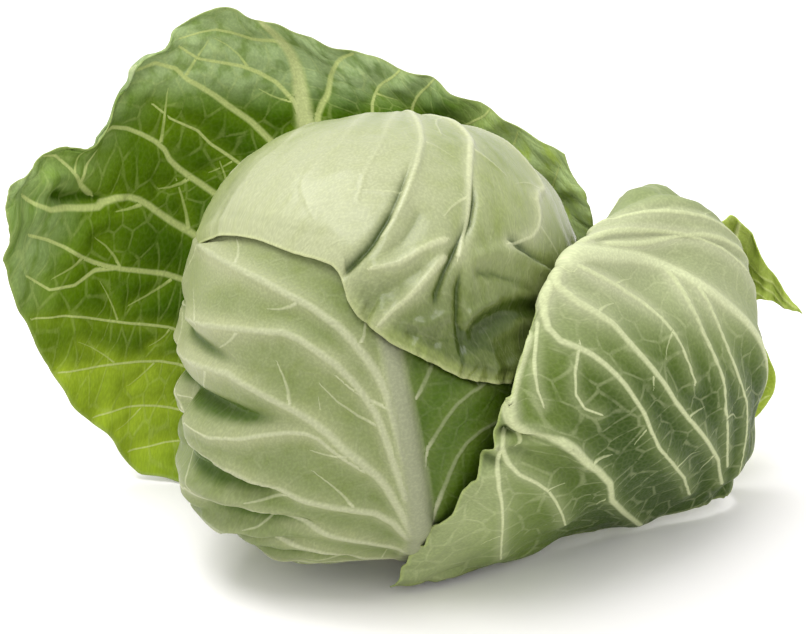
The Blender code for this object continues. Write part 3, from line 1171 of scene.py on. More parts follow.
@dataclass
class WrappedLeaf(LeafPiece):
    """A leaf that lies on the head, from a net of azimuth, elevation and standoff."""

    net: tuple = ()
    lay: Lay = Lay.RIDGED
    slot: Slot = Slot.WRAPPED
    standoff: np.ndarray | None = None

    def surface(self, u: np.ndarray, v: np.ndarray) -> np.ndarray:
        """The smooth middle of the blade.

        Args:
            u: Places from foot to tip.
            v: Places from left to right.

        Returns:
            Points in millimetres.
        """
        table = np.asarray(self.net, float)
        points = HEAD.surface(directions(table[..., 0], table[..., 1]), np.zeros(table.shape[:2]))
        flat = on_net(np.concatenate([points, table[..., 2:]], -1), u, v)
        self.standoff = flat[:, 3]
        return HEAD.surface(flat[:, :3] - np.asarray(HEAD.centre), flat[:, 3])

    def lifted(self, height: np.ndarray) -> np.ndarray:
        """The middle of the blade with its relief, straight out from the head.

        Args:
            height: Relief in millimetres.

        Returns:
            Points in millimetres.
        """
        return HEAD.surface(HEAD.ways(self.sheet.base), self.standoff + height)

    def spots(self) -> tuple[np.ndarray, np.ndarray]:
        """Azimuths in degrees and heights in millimetres of the sheet's points."""
        way = HEAD.ways(self.sheet.base)
        return np.degrees(np.arctan2(way[:, 0], -way[:, 1])), self.sheet.base[:, 2]


@dataclass
class LooseLeaf(LeafPiece):
    """A leaf that stands free of the head, from a net of points."""

    net: tuple = ()

    def surface(self, u: np.ndarray, v: np.ndarray) -> np.ndarray:
        """The smooth middle of the blade."""
        return on_net(np.asarray(self.net, float), u, v)


FRONT_NET = (
    ((-36, -77, -3), (-25, -77, -3), (-13, -77, -3), (0, -77, -3), (12, -77, -3),
     (20, -77, -3), (28, -77, -3), (36, -77, -3), (44, -77, -3)),
    ((-74, -58, 4), (-54, -58, 8), (-33, -58, 9), (-10, -58, 4), (12, -58, 0),
     (28, -58, -1), (42, -58, -2), (54, -58, -2), (66, -58, -2)),
    ((-96, -42, 4), (-72, -42, 11), (-46, -42, 14), (-17, -42, 6), (11, -42, 0),
     (30, -42, -1), (48, -42, -2), (64, -42, -3), (78, -42, -3)),
    ((-110, -26, 0), (-84, -26, 8), (-55, -26, 11), (-24, -26, 4), (8, -26, 0),
     (29, -26, -1), (49, -26, -2), (67, -26, -3), (83, -26, -4)),
    ((-118, -4, -4), (-90, -4, 0), (-62, -4, 2), (-29, -4, 1), (5, -4, 0),
     (28, -4, -2), (50, -4, -3.5), (70, -4, -4.5), (86, -4, -4.5)),
    ((-118, 18, -4.5), (-90, 18, -1), (-62, 18, 0), (-30, 18, -0.5), (3, 18, -3.5),
     (28, 18, -4.5), (50, 18, -4.5), (70, 18, -4.5), (86, 18, -4.5)),
    ((-112, 40, -4.5), (-86, 40, -4.5), (-58, 40, -4.5), (-28, 40, -4.5), (0, 40, -4.5),
     (26, 40, -4.5), (48, 40, -4.5), (68, 40, -4.5), (84, 40, -4.5)),
    ((-104, 60, -4.5), (-80, 60, -4.5), (-54, 60, -4.5), (-26, 60, -4.5), (-4, 60, -4.5),
     (24, 60, -4.5), (46, 60, -4.5), (66, 60, -4.5), (82, 60, -4.5)),
)

CAP_NET = (
    ((192, -77, 0), (186, -77, 0), (180, -77, 0), (174, -77, 0), (168, -77, 0),
     (162, -77, 0), (156, -77, 0), (150, -77, 0), (144, -77, 0)),
    ((212, -47, -1), (202, -47, -1), (190, -47, -1), (178, -47, -1), (167, -47, -1),
     (154, -47, -1), (142, -47, -1), (130, -47, -1), (118, -47, -1)),
    ((236, -12, -1), (221, -8, -1), (205, -5, -1), (190, -3, -1), (177, -3, -1),
     (162, -3, -1), (146, -5, -1), (130, -8, -1), (112, -12, -1)),
    ((246, 12, -1), (236, 28, -1), (218, 38, -1), (198, 44, -1), (177, 45, -1),
     (159, 44, -1), (140, 38, -1), (120, 28, -1), (99, 14, -1)),
    ((256, 24, -1), (250, 46, -1), (238, 60, -1), (211, 70, -1), (174, 73, -1),
     (141, 70, -1), (117, 61, -1), (103, 45, -1), (98, 23, -1)),
    ((263, 30, -1), (270, 50, -1), (298, 66, -1), (342, 74, -1), (14, 73, -1),
     (39, 69, -1), (57, 61, -1), (69, 48, -1), (87, 25, -1)),
    ((271, 31, -0.5), (294, 46, -0.5), (322, 52, -0.5), (344, 54, -0.5), (0, 49, -0.5),
     (10, 42, -0.5), (20, 34, -0.5), (32, 26, -0.5), (59, 16, -1)),
    ((280, 29, 1), (308, 39, 1), (329, 39, 1), (344, 37, 1.5), (350, 28, 1.5),
     (358, 21, 1), (12, 13, 1), (26, 6, 1.5), (46, 3, 0.5)),
)

REAR_NET = (
    ((-19.3, 7.0, 5), (-17.8, 10.3, 4.5), (-15.9, 12.9, 4), (-13.7, 15.2, 4), (-11.2, 17.2, 4),
     (-8.3, 18.7, 4.5), (-5.3, 19.8, 5)),
    ((-64, 34, 4), (-52, 44, 8), (-40, 50, 11), (-28, 54, 12), (-16, 56, 11), (0, 56, 8), (14, 55, 5)),
    ((-108, 62, 2), (-88, 74, 20), (-62, 86, 36), (-36, 92, 44), (-8, 94, 40), (26, 90, 26),
     (50, 84, 12)),
    ((-153, 60, 48), (-109, 88, 72), (-72, 104, 88), (-28, 112, 98), (14, 112, 92), (60, 104, 74),
     (88, 94, 56)),
    ((-175, 50, 104), (-131, 84, 124), (-92, 110, 140), (-36, 122, 150), (14, 122, 142),
     (64, 116, 122), (103, 92, 103)),
    ((-177, 44, 137), (-145, 78, 161), (-104, 108, 200), (-49, 128, 193), (-17, 133, 183),
     (41, 124, 157), (99, 96, 131)),
    ((-173, 50, 156), (-142, 78, 170), (-94, 112, 220), (-60, 124, 217), (-23, 134, 200),
     (45, 124, 173), (88, 104, 154)),
)

RIGHT_NET = (
    ((15.3, -12.9, 5), (17.3, -10, 4), (18.8, -6.8, 4), (19.7, -3.5, 4), (20, 0, 4), (19.7, 3.5, 5)),
    ((56, -40, 21), (60, -35, 21), (63, -29, 21), (66, -22, 21), (69, -9, 21), (69, 5, 22)),
    ((80, -51, 70), (84, -44, 70), (88, -36, 70), (91, -26, 70), (94, -12, 70), (94, 7, 70)),
    ((83, -56, 122), (86, -49, 122), (90, -41, 122), (93, -31, 122), (96, -15, 122), (97, 4, 122)),
    ((68, -66, 146), (72, -60, 152), (77, -52, 157), (84, -38, 159), (98, 2, 156), (110, 26, 155)),
    ((51, -90, 111), (67, -82, 124), (94, -57, 136), (118, -12, 142), (132, 10, 164), (130, 34, 160)),
    ((40, -90, 78), (60, -88, 88), (110, -57, 102), (147, -8, 122), (163, 26, 130), (158, 48, 129)),
    ((22, -78, 44), (51, -76, 52), (123, -38, 60), (170, 10, 76), (179, 38, 79), (174, 56, 79)),
    ((1, -56, 2), (37, -41, 2), (110, 6, 2), (161, 27, 2), (170, 42, 2), (172, 54, 2)),
)

SMALL_NET = (
    ((18.8, 6.8, 4), (18.1, 8.5, 4), (17.3, 10, 4), (16.4, 11.5, 4), (15.3, 12.9, 4)),
    ((72, 26, 5), (68, 34, 5), (62, 40, 6), (54, 44, 8), (46, 46, 10)),
    ((190, 76, 31), (170, 84, 28), (148, 90, 28), (124, 90, 30), (100, 82, 36)),
    ((182, 88, 82), (176, 94, 88), (164, 98, 92), (142, 98, 94), (118, 88, 92)),
    ((203, 86, 79), (182, 84, 108), (167, 78, 132), (148, 70, 134), (124, 58, 156)),
)


FRONT_FINISH = LeafFinish(
    "front_leaf_wax", blade=(112, 125, 64), deep=(95, 111, 44), pale=(156, 160, 118),
    bloom_and_painted_light=(138, 145, 112), vein=(178, 182, 144), rib=(140, 144, 115), rim=(160, 168, 108),
    painted_shade=(60, 86, 0), web_share=0.05, fine_share=0.03, roughness=0.42, shine=0.16, edge=(0.3, 1.6),
)
CAP_FINISH = LeafFinish(
    "cap_leaf_wax", blade=(132, 143, 78), deep=(116, 129, 58), pale=(170, 173, 136),
    bloom_and_painted_light=(168, 169, 150), vein=(186, 190, 146), rib=(190, 193, 156), rim=(184, 190, 134),
    painted_shade=(50, 68, 0), web_share=0.06, fine_share=0.03, roughness=0.42, shine=0.16, coat=0.4,
    coat_roughness=0.26, edge=(0.3, 1.5),
)
REAR_FACE = LeafFinish(
    "rear_leaf_face", blade=(98, 126, 14), deep=(84, 114, 4), pale=(150, 172, 44),
    bloom_and_painted_light=(166, 184, 134), vein=(184, 196, 120), rib=(186, 194, 134), rim=(148, 162, 96),
    painted_shade=(58, 88, 0), web_share=0.17, fine_share=0.03, roughness=0.5, shine=0.03,
    edge=(0.5, 1.4),
)
REAR_BACK = LeafFinish(
    "rear_leaf_back", blade=(118, 140, 76), deep=(98, 122, 56), pale=(146, 164, 96),
    bloom_and_painted_light=(146, 162, 122), vein=(172, 182, 130), rib=(190, 195, 156), rim=(158, 172, 116),
    painted_shade=(70, 90, 34), web_share=0.25, fine_share=0.08, roughness=0.55, shine=0.15,
)
RIGHT_FACE = LeafFinish(
    "right_leaf_face", blade=(108, 127, 58), deep=(92, 113, 40), pale=(176, 180, 144),
    bloom_and_painted_light=(126, 138, 94), vein=(190, 197, 150), rib=(194, 200, 158), rim=(164, 178, 104),
    painted_shade=(42, 64, 0), web_share=0.2, fine_share=0.04, roughness=0.48, shine=0.1, edge=(0.4, 1.5),
)
RIGHT_BACK = LeafFinish(
    "right_leaf_back", blade=(128, 146, 84), deep=(106, 128, 60), pale=(160, 172, 112),
    bloom_and_painted_light=(150, 162, 124), vein=(176, 184, 136), rib=(190, 195, 156), rim=(166, 178, 116),
    painted_shade=(70, 90, 34), web_share=0.2, fine_share=0.08, roughness=0.55, shine=0.15,
)
SMALL_FACE = LeafFinish(
    "small_leaf_face", blade=(156, 176, 54), deep=(138, 162, 40), pale=(172, 188, 90),
    bloom_and_painted_light=(158, 180, 100), vein=(190, 204, 116), rib=(200, 208, 140), rim=(176, 196, 84),
    painted_shade=(70, 96, 14), web_share=0.2, fine_share=0.04, roughness=0.45, shine=0.15,
)
BALL_FINISH = LeafFinish(
    "inner_leaf_wax", blade=(146, 156, 90), deep=(128, 142, 68), pale=(166, 171, 126),
    bloom_and_painted_light=(166, 169, 138), vein=(180, 186, 138), rib=(184, 188, 150), rim=(178, 184, 132),
    painted_shade=(90, 106, 34), web_share=0.10, fine_share=0.05, roughness=0.42, shine=0.3,
)


@dataclass
class FrontLeaf(WrappedLeaf):
    """The leaf round the front of the head, with its thick middle rib and low left puckers."""

    name: str = "front_leaf_blade"
    node: str = "front_leaf"
    rows: int = 214
    columns: int = 224
    net: tuple = FRONT_NET
    rib_extra: float = 1.2
    swell: float = -0.8
    swell_reach: float = 9.0
    web_swell: float = 0.15
    seed: int = 100
    face: LeafFinish = FRONT_FINISH

    COVER_AZIMUTHS = (-95, -80, -52, -31, -16, -10, -2, 12, 25, 40, 80)
    COVER_ELEVATIONS = (26, 29, 39, 39, 37, 28, 21, 13, 6, 4, 12)
    COVER_DEPTHS = (3.8, 3.8, 3.8, 3.8, 3.8, 4.0, 4.5, 5.5, 7.2, 7.2, 7.2)
    DENTS = (
        (0.66, 0.19, -3.0, 12), (0.58, 0.18, -2.0, 10), (0.50, 0.11, -7.5, 12), (0.516, 0.20, -10.5, 11),
        (0.465, 0.105, -9.5, 10), (0.465, 0.20, -6.0, 9), (0.44, 0.11, -4.0, 8), (0.383, 0.133, -1.5, 9),
        (0.36, 0.14, 3.5, 9), (0.36, 0.19, 6.0, 10), (0.337, 0.197, 2.0, 8), (0.31, 0.203, 5.5, 9),
    )
    DEEPEST = -7.2

    def __post_init__(self) -> None:
        """Lay the veins."""
        middle = ((0, 0.5), (0.2, 0.505), (0.4, 0.507), (0.55, 0.505), (0.7, 0.495), (0.85, 0.49), (1, 0.49))
        rib = Vein(middle, 14.0, 0.35, 2.4, 0.9, 1.0, twigs=False)
        routes = (
            (((0.52, 0.497), (0.63, 0.487), (0.69, 0.47), (0.737, 0.447), (0.763, 0.42), (0.777, 0.397),
              (0.797, 0.33), (0.80, 0.23), (0.775, 0.10)), 5.0),
            (((0.44, 0.492), (0.513, 0.485), (0.56, 0.48), (0.603, 0.473), (0.64, 0.46), (0.677, 0.443),
              (0.703, 0.42), (0.723, 0.393), (0.72, 0.367), (0.708, 0.32), (0.688, 0.263),
              (0.66, 0.14)), 4.6),
            (((0.33, 0.492), (0.397, 0.483), (0.46, 0.473), (0.503, 0.46), (0.537, 0.44), (0.57, 0.423),
              (0.597, 0.397), (0.613, 0.37), (0.633, 0.325), (0.615, 0.247), (0.592, 0.12)), 5.2),
            (((0.50, 0.455), (0.533, 0.43), (0.553, 0.417), (0.557, 0.397), (0.54, 0.353), (0.517, 0.30),
              (0.512, 0.2), (0.51, 0.08)), 2.8),
            (((0.30, 0.485), (0.383, 0.463), (0.403, 0.433), (0.42, 0.40), (0.447, 0.367), (0.463, 0.337),
              (0.475, 0.30), (0.486, 0.247), (0.487, 0.18), (0.485, 0.08)), 4.6),
            (((0.22, 0.48), (0.29, 0.43), (0.33, 0.39), (0.363, 0.36), (0.397, 0.33), (0.405, 0.27),
              (0.40, 0.18), (0.39, 0.06)), 3.6),
            (((0.14, 0.48), (0.203, 0.41), (0.25, 0.38), (0.29, 0.34), (0.325, 0.28), (0.31, 0.18),
              (0.29, 0.06)), 3.4),
            (((0.06, 0.47), (0.14, 0.42), (0.19, 0.36), (0.21, 0.28), (0.21, 0.16)), 3.0),
            (((0.42, 0.52), (0.503, 0.523), (0.567, 0.55), (0.617, 0.59), (0.64, 0.66), (0.64, 0.78)), 2.6),
            (((0.24, 0.52), (0.327, 0.53), (0.46, 0.555), (0.54, 0.60), (0.57, 0.69), (0.57, 0.82)), 3.0),
            (((0.14, 0.52), (0.22, 0.56), (0.31, 0.63), (0.36, 0.73), (0.37, 0.88)), 2.4),
            (((0.62, 0.52), (0.70, 0.56), (0.76, 0.63), (0.80, 0.72), (0.81, 0.84)), 2.4),
        )
        self.veins = [rib] + [
            Vein(route, 0.68 * width, 0.55, 0.2 * width, 0.85 if route[1][1] < 0.5 else 0.3, 0.35)
            for route, width in routes
        ]

    def twig_plan(self) -> tuple[float, float]:
        """Few twigs, because this leaf shows its waxy outer side."""
        return 38.0, 24.0

    def swells(self) -> np.ndarray:
        """Dents and bulges of the left side.

        Returns:
            Height in millimetres.
        """
        table = np.asarray(self.DENTS)
        centres = self.sheet.at(self.sheet.base, table[:, :2])
        gap = np.linalg.norm(self.sheet.base[:, None] - centres[None], axis=-1)
        share = np.exp(-(gap / table[:, 3]) ** 2)
        return (share @ table[:, 2]) / np.maximum(share.sum(1), 1)

    def lifted(self, height: np.ndarray) -> np.ndarray:
        """The blade with its relief, held down where the cap leaf covers it.

        Args:
            height: Relief in millimetres.

        Returns:
            Points in millimetres.
        """
        way = HEAD.ways(self.sheet.base)
        azimuth, _ = self.spots()
        elevation = np.degrees(np.arcsin(way[:, 2]))
        edge = np.interp(azimuth, self.COVER_AZIMUTHS, self.COVER_ELEVATIONS)
        depth = np.interp(azimuth, self.COVER_AZIMUTHS, self.COVER_DEPTHS)
        covered = band(elevation - edge, -4, 1)
        out = np.minimum(self.standoff + height, 18 - (18 + depth) * covered)
        return HEAD.surface(way, np.maximum(out, self.DEEPEST))

    def folds(self) -> list[Vein]:
        """The crease beside the middle rib, and the puckers low on the left.

        Returns:
            The folds.
        """
        crease = ((0.617, 0.52), (0.563, 0.522), (0.503, 0.525), (0.407, 0.53), (0.25, 0.535), (0.08, 0.55))
        tents = [Vein(vein.route, 9.0, 0.7, 1.6, 0) for vein in self.veins[1:8]]
        puckers = (
            (((0.448, 0.16), (0.448, 0.23), (0.448, 0.28), (0.447, 0.31), (0.445, 0.337), (0.43, 0.38)),
              7.0, -5.6),
            (((0.385, 0.20), (0.385, 0.28), (0.378, 0.343), (0.363, 0.363), (0.34, 0.40)), 6.5, -4.4),
            (((0.26, 0.13), (0.30, 0.22), (0.317, 0.30), (0.30, 0.37)), 6.5, -4.0),
            (((0.36, 0.02), (0.355, 0.10), (0.355, 0.18), (0.365, 0.27)), 5.5, -3.2),
            (((0.56, -0.08), (0.558, 0.08), (0.555, 0.20), (0.558, 0.30), (0.57, 0.42)), 11.0, -8.0),
            (((0.515, -0.02), (0.515, 0.12), (0.515, 0.24), (0.52, 0.34)), 8.0, 0.6),
            (((0.476, 0.04), (0.476, 0.16), (0.474, 0.26), (0.46, 0.32)), 6.0, -4.0),
            (((0.67, 0.02), (0.665, 0.16), (0.657, 0.27), (0.64, 0.37)), 9.0, -3.4),
            (((0.25, -0.02), (0.26, 0.12), (0.265, 0.24), (0.24, 0.36), (0.21, 0.40)), 5.5, -3.4),
            (((0.16, 0.0), (0.17, 0.16), (0.165, 0.32)), 5.5, -2.6),
            (((0.42, 0.08), (0.415, 0.18), (0.42, 0.27), (0.41, 0.34)), 3.6, 2.2),
            (((0.33, 0.10), (0.335, 0.20), (0.345, 0.30), (0.33, 0.37)), 3.6, 2.2),
        )
        made = [Vein(crease, 5.0, 0.7, -2.2, 0)] + tents
        made += [Vein(route, width, 0.7, 1.25 * rise, 0, ends=0.3) for route, width, rise in puckers]
        return made

    def relief(self) -> np.ndarray:
        """Small puckers low on the left, and slow waves over the blade.

        Returns:
            Height in millimetres.
        """
        sheet = self.sheet
        azimuth, height = self.spots()
        region = band(-azimuth, 12, 32) * band(-height, -95, -60) * band(sheet.u, 0.12, 0.22)
        pucker = 1.1 * value_noise(sheet.along / 6, sheet.across / 13, self.seed + 6)
        slow = 0.9 * value_noise(sheet.along / 22, sheet.across / 30, self.seed + 5)
        return region * pucker + slow * band(sheet.margin, 0, 20) + self.swells()

    def shades(self) -> dict[str, np.ndarray]:
        """Pale painted highlight along the veins, painted greener shade on the right, low down and in the
        folds.

        Returns:
            Shares for each attribute.
        """
        sheet = self.sheet
        left = 1 - band(sheet.v, 0.49, 0.53)
        # Painted highlight, paler along the vein ridges, towards the top and on the upper left.
        vein_highlight = np.exp(-(self.main_away / 5.0) ** 2)
        upper = band(-sheet.v, -0.42, -0.22) * band(sheet.u, 0.46, 0.56)
        tone_and_painted_light = left * (0.62 * vein_highlight + 0.12 * band(sheet.u, 0.5, 0.8) + 0.45 * upper)
        tone_and_painted_light += 0.2 * left * value_noise(sheet.along / 12, sheet.across / 26, self.seed + 9)
        # Painted shade: dark in the folds' pits, darker low down, and a painted shadow of the right leaf on
        # the right half.
        pit = np.clip((-self.fold - 0.8) / 3.0, 0, 1)
        right = (1 - left) * (0.95 - 0.3 * vein_highlight)
        low = 0.24 * band(-sheet.base[:, 2], -120, -55) * (1 - 0.8 * vein_highlight)
        shade = np.maximum(np.maximum(0.92 * pit, low), right)
        return {"tone_and_painted_light": np.clip(tone_and_painted_light, 0, 1), "painted_shade": shade, "bloom_and_painted_light": 0.35 * left * (1 - pit)}


@dataclass
class CapLeaf(WrappedLeaf):
    """The pale leaf over the top of the head, whose crinkled margin crosses the front."""

    name: str = "cap_leaf_blade"
    node: str = "cap_leaf"
    rows: int = 222
    columns: int = 216
    net: tuple = CAP_NET
    rib_extra: float = 0.8
    swell: float = -0.5
    swell_reach: float = 9.0
    web_swell: float = 0.15
    seed: int = 200
    floor_gap: float = 0.5
    face: LeafFinish = CAP_FINISH

    # Ends of the fold's pocket of painted shade, in millimetres right of and above the head's middle in the
    # main view.
    POCKET = (37.0, -7.0, 52.0, 5.0)
    POCKET_REACH = 7.5

    def __post_init__(self) -> None:
        """Lay the veins."""
        routes = (
            (((0, 0.5), (0.15, 0.5), (0.30, 0.5), (0.45, 0.51), (0.55, 0.55)), 8.0, 1.5, 0.8),
            (((0.50, 0.545), (0.60, 0.57), (0.687, 0.575), (0.787, 0.547), (0.833, 0.53), (0.873, 0.51)),
              2.6, 0.8, 0.5),
            (((0.50, 0.57), (0.57, 0.66), (0.64, 0.72), (0.70, 0.722), (0.75, 0.735), (0.79, 0.75),
              (0.83, 0.755)), 3.2, 1.4, 0.75),
            (((0.42, 0.54), (0.50, 0.68), (0.57, 0.81), (0.643, 0.897), (0.71, 0.89), (0.743, 0.903),
              (0.773, 0.90), (0.793, 0.863)), 2.8, 1.0, 0.55),
            (((0.823, 0.703), (0.847, 0.65), (0.89, 0.593), (0.93, 0.52)), 2.8, 1.2, 0.6),
            (((0.84, 0.717), (0.88, 0.683), (0.91, 0.667), (0.953, 0.637), (0.987, 0.62)), 2.6, 1.1, 0.55),
            (((0.50, 0.53), (0.60, 0.50), (0.68, 0.44), (0.75, 0.393), (0.84, 0.40)), 2.4, 0.35, 0.12),
            (((0.46, 0.51), (0.58, 0.42), (0.70, 0.32), (0.80, 0.26), (0.90, 0.30)), 2.4, 0.3, 0.10),
            (((0.38, 0.50), (0.50, 0.36), (0.62, 0.24), (0.74, 0.16), (0.85, 0.14)), 2.4, 0.3, 0.10),
            (((0.28, 0.49), (0.38, 0.36), (0.48, 0.22), (0.58, 0.10)), 2.4, 0.6, 0.4),
            (((0.18, 0.49), (0.26, 0.34), (0.34, 0.20), (0.40, 0.08)), 2.4, 0.6, 0.4),
            (((0.30, 0.51), (0.40, 0.66), (0.48, 0.82), (0.54, 0.94)), 2.4, 0.6, 0.4),
            (((0.18, 0.51), (0.27, 0.66), (0.34, 0.82), (0.39, 0.94)), 2.4, 0.6, 0.4),
        )
        self.veins = [
            Vein(route, width, 0.45, rise, pale, 0.5, twigs=route[0][0] > 0) for route, width, rise,
            pale in routes
        ]

    def twig_plan(self) -> tuple[float, float]:
        """Few twigs, because this leaf shows its waxy outer side."""
        return 34.0, 26.0

    def folds(self) -> list[Vein]:
        """The creases beside the main veins, the folds near the margin and the deep dip.

        Returns:
            The folds.
        """
        creases = (
            (((1.04, 0.38), (0.957, 0.457), (0.91, 0.488), (0.873, 0.50), (0.833, 0.515), (0.787, 0.53),
              (0.70, 0.56)), 4.2, -2.5, 1.5),
            (((0.93, 0.742), (0.883, 0.73), (0.85, 0.733), (0.82, 0.748), (0.793, 0.762), (0.767, 0.757),
              (0.71, 0.725)), 3.8, -2.4, 1.1),
            (((0.82, 0.77), (0.88, 0.797), (0.927, 0.817), (0.973, 0.83), (1.03, 0.84)), 4.0, -2.4, -1.6),
            (((0.97, 0.845), (0.91, 0.85), (0.873, 0.885), (0.853, 0.93), (0.845, 1.02)), 10.0, -5.4, 0),
            (((0.96, 0.88), (0.91, 0.92), (0.90, 1.0)), 13.0, -2.0, 0),
            (((0.785, 0.84), (0.795, 0.90), (0.80, 0.94), (0.815, 1.0)), 4.0, -2.4, 0.9),
            (((0.835, 0.80), (0.825, 0.86), (0.83, 0.95)), 4.6, -2.0, 0),
            (((0.975, 0.67), (0.965, 0.74), (0.945, 0.80)), 7.0, -1.8, 0),
            (((0.90, 0.06), (0.93, 0.22), (0.935, 0.38)), 6.0, -0.5, 0),
            (((0.80, 0.60), (0.84, 0.59), (0.90, 0.54)), 6.0, -1.2, 0),
            (((0.86, 0.67), (0.90, 0.63), (0.96, 0.58)), 6.0, -1.2, 0),
        )
        ridges = (
            (((0.965, 0.66), (0.943, 0.727), (0.92, 0.75), (0.89, 0.80)), 4.4, 2.2, 0),
            (((0.915, 0.812), (0.885, 0.835), (0.865, 0.858), (0.845, 0.89)), 4.0, 3.6, 0),
            (((0.83, 0.775), (0.805, 0.847), (0.802, 0.907), (0.808, 0.98)), 4.8, 2.6, 0),
            (((0.94, 0.50), (0.89, 0.593), (0.84, 0.66)), 8.0, 1.2, 0),
            (((1.0, 0.61), (0.91, 0.667), (0.83, 0.725)), 8.0, 1.2, 0),
            (((0.84, 0.525), (0.787, 0.548), (0.687, 0.575)), 8.0, 1.0, 0),
            (((0.985, 0.88), (0.96, 0.93), (0.94, 0.99)), 4.0, 1.8, 0),
        )
        return [
            Vein(route, width, 0.6, rise, 0, step=step, ends=0.18)
            for route, width, rise, step in creases + ridges
        ]

    def relief(self) -> np.ndarray:
        """A margin that lies close on the left and is crinkled on the right, with slow waves behind it.

        Returns:
            Height in millimetres.
        """
        sheet = self.sheet
        lip = band(sheet.u, 0.92, 0.99)
        right = band(sheet.v, 0.45, 0.62)
        crinkle = value_noise(sheet.across / 5.0, sheet.along / 14, self.seed + 3)
        crinkle += 0.6 * value_noise(sheet.across / 2.6, sheet.along / 8, self.seed + 4)
        slow = 0.8 * value_noise(sheet.along / 20, sheet.across / 24, self.seed + 5)
        slow += 0.35 * value_noise(sheet.along / 9, sheet.across / 11, self.seed + 6)
        edge = (1 - right) * (0.2 * crinkle - 2.0) + right * (0.4 + 2.6 * crinkle)
        return lip * edge + slow

    def shades(self) -> dict[str, np.ndarray]:
        """Painted light on the upper left; painted greener shade near the front margin and dark in the
        creases.

        Returns:
            Shares for each attribute.
        """
        sheet = self.sheet
        way = HEAD.ways(sheet.base)
        # Painted light: paler on the faces turned towards the lamp, and painted highlight along the vein
        # ridges.
        light = unit(np.array([-0.30, -0.50, 0.80]))
        tone_and_painted_light = band(way @ light, 0.64, 1.0) * 0.68
        front = band(sheet.u, 0.76, 0.98) * band(sheet.v, 0.38, 0.62)
        rise = across_view(sheet.base)[:, 1]
        vein_highlight = np.exp(-(self.main_away / 4.5) ** 2)
        tone_and_painted_light = np.maximum(tone_and_painted_light * (1 - 0.6 * front), 0.55 * vein_highlight)
        # Painted shade: dark in the creases and in the fold's pocket, darker low on the front, less at the
        # lip.
        pit = np.clip((-self.fold - 0.3) / 1.8, 0, 1)
        lower_shade = band(-rise, -62, 14) * band(sheet.v, 0.38, 0.58) * (0.74 - 0.6 * vein_highlight)
        lip = band(sheet.u, 0.972, 0.988)
        spot = across_view(sheet.base) - np.array(self.POCKET[:2])
        run = np.array(self.POCKET[2:]) - np.array(self.POCKET[:2])
        part = np.clip(spot @ run / (run @ run), 0, 1)
        away = np.linalg.norm(spot - part[:, None] * run, axis=1)
        pocket = 0.95 * np.exp(-(away / self.POCKET_REACH) ** 2) * (way[:, 1] < 0)
        shade = np.maximum(np.maximum(0.95 * pit, pocket), np.clip(lower_shade, 0, 1)) * (1 - 0.7 * lip)
        return {"tone_and_painted_light": tone_and_painted_light, "painted_shade": shade, "bloom_and_painted_light": 0.25 * band(way[:, 2], 0.2, 0.8) * (1 - pit)}


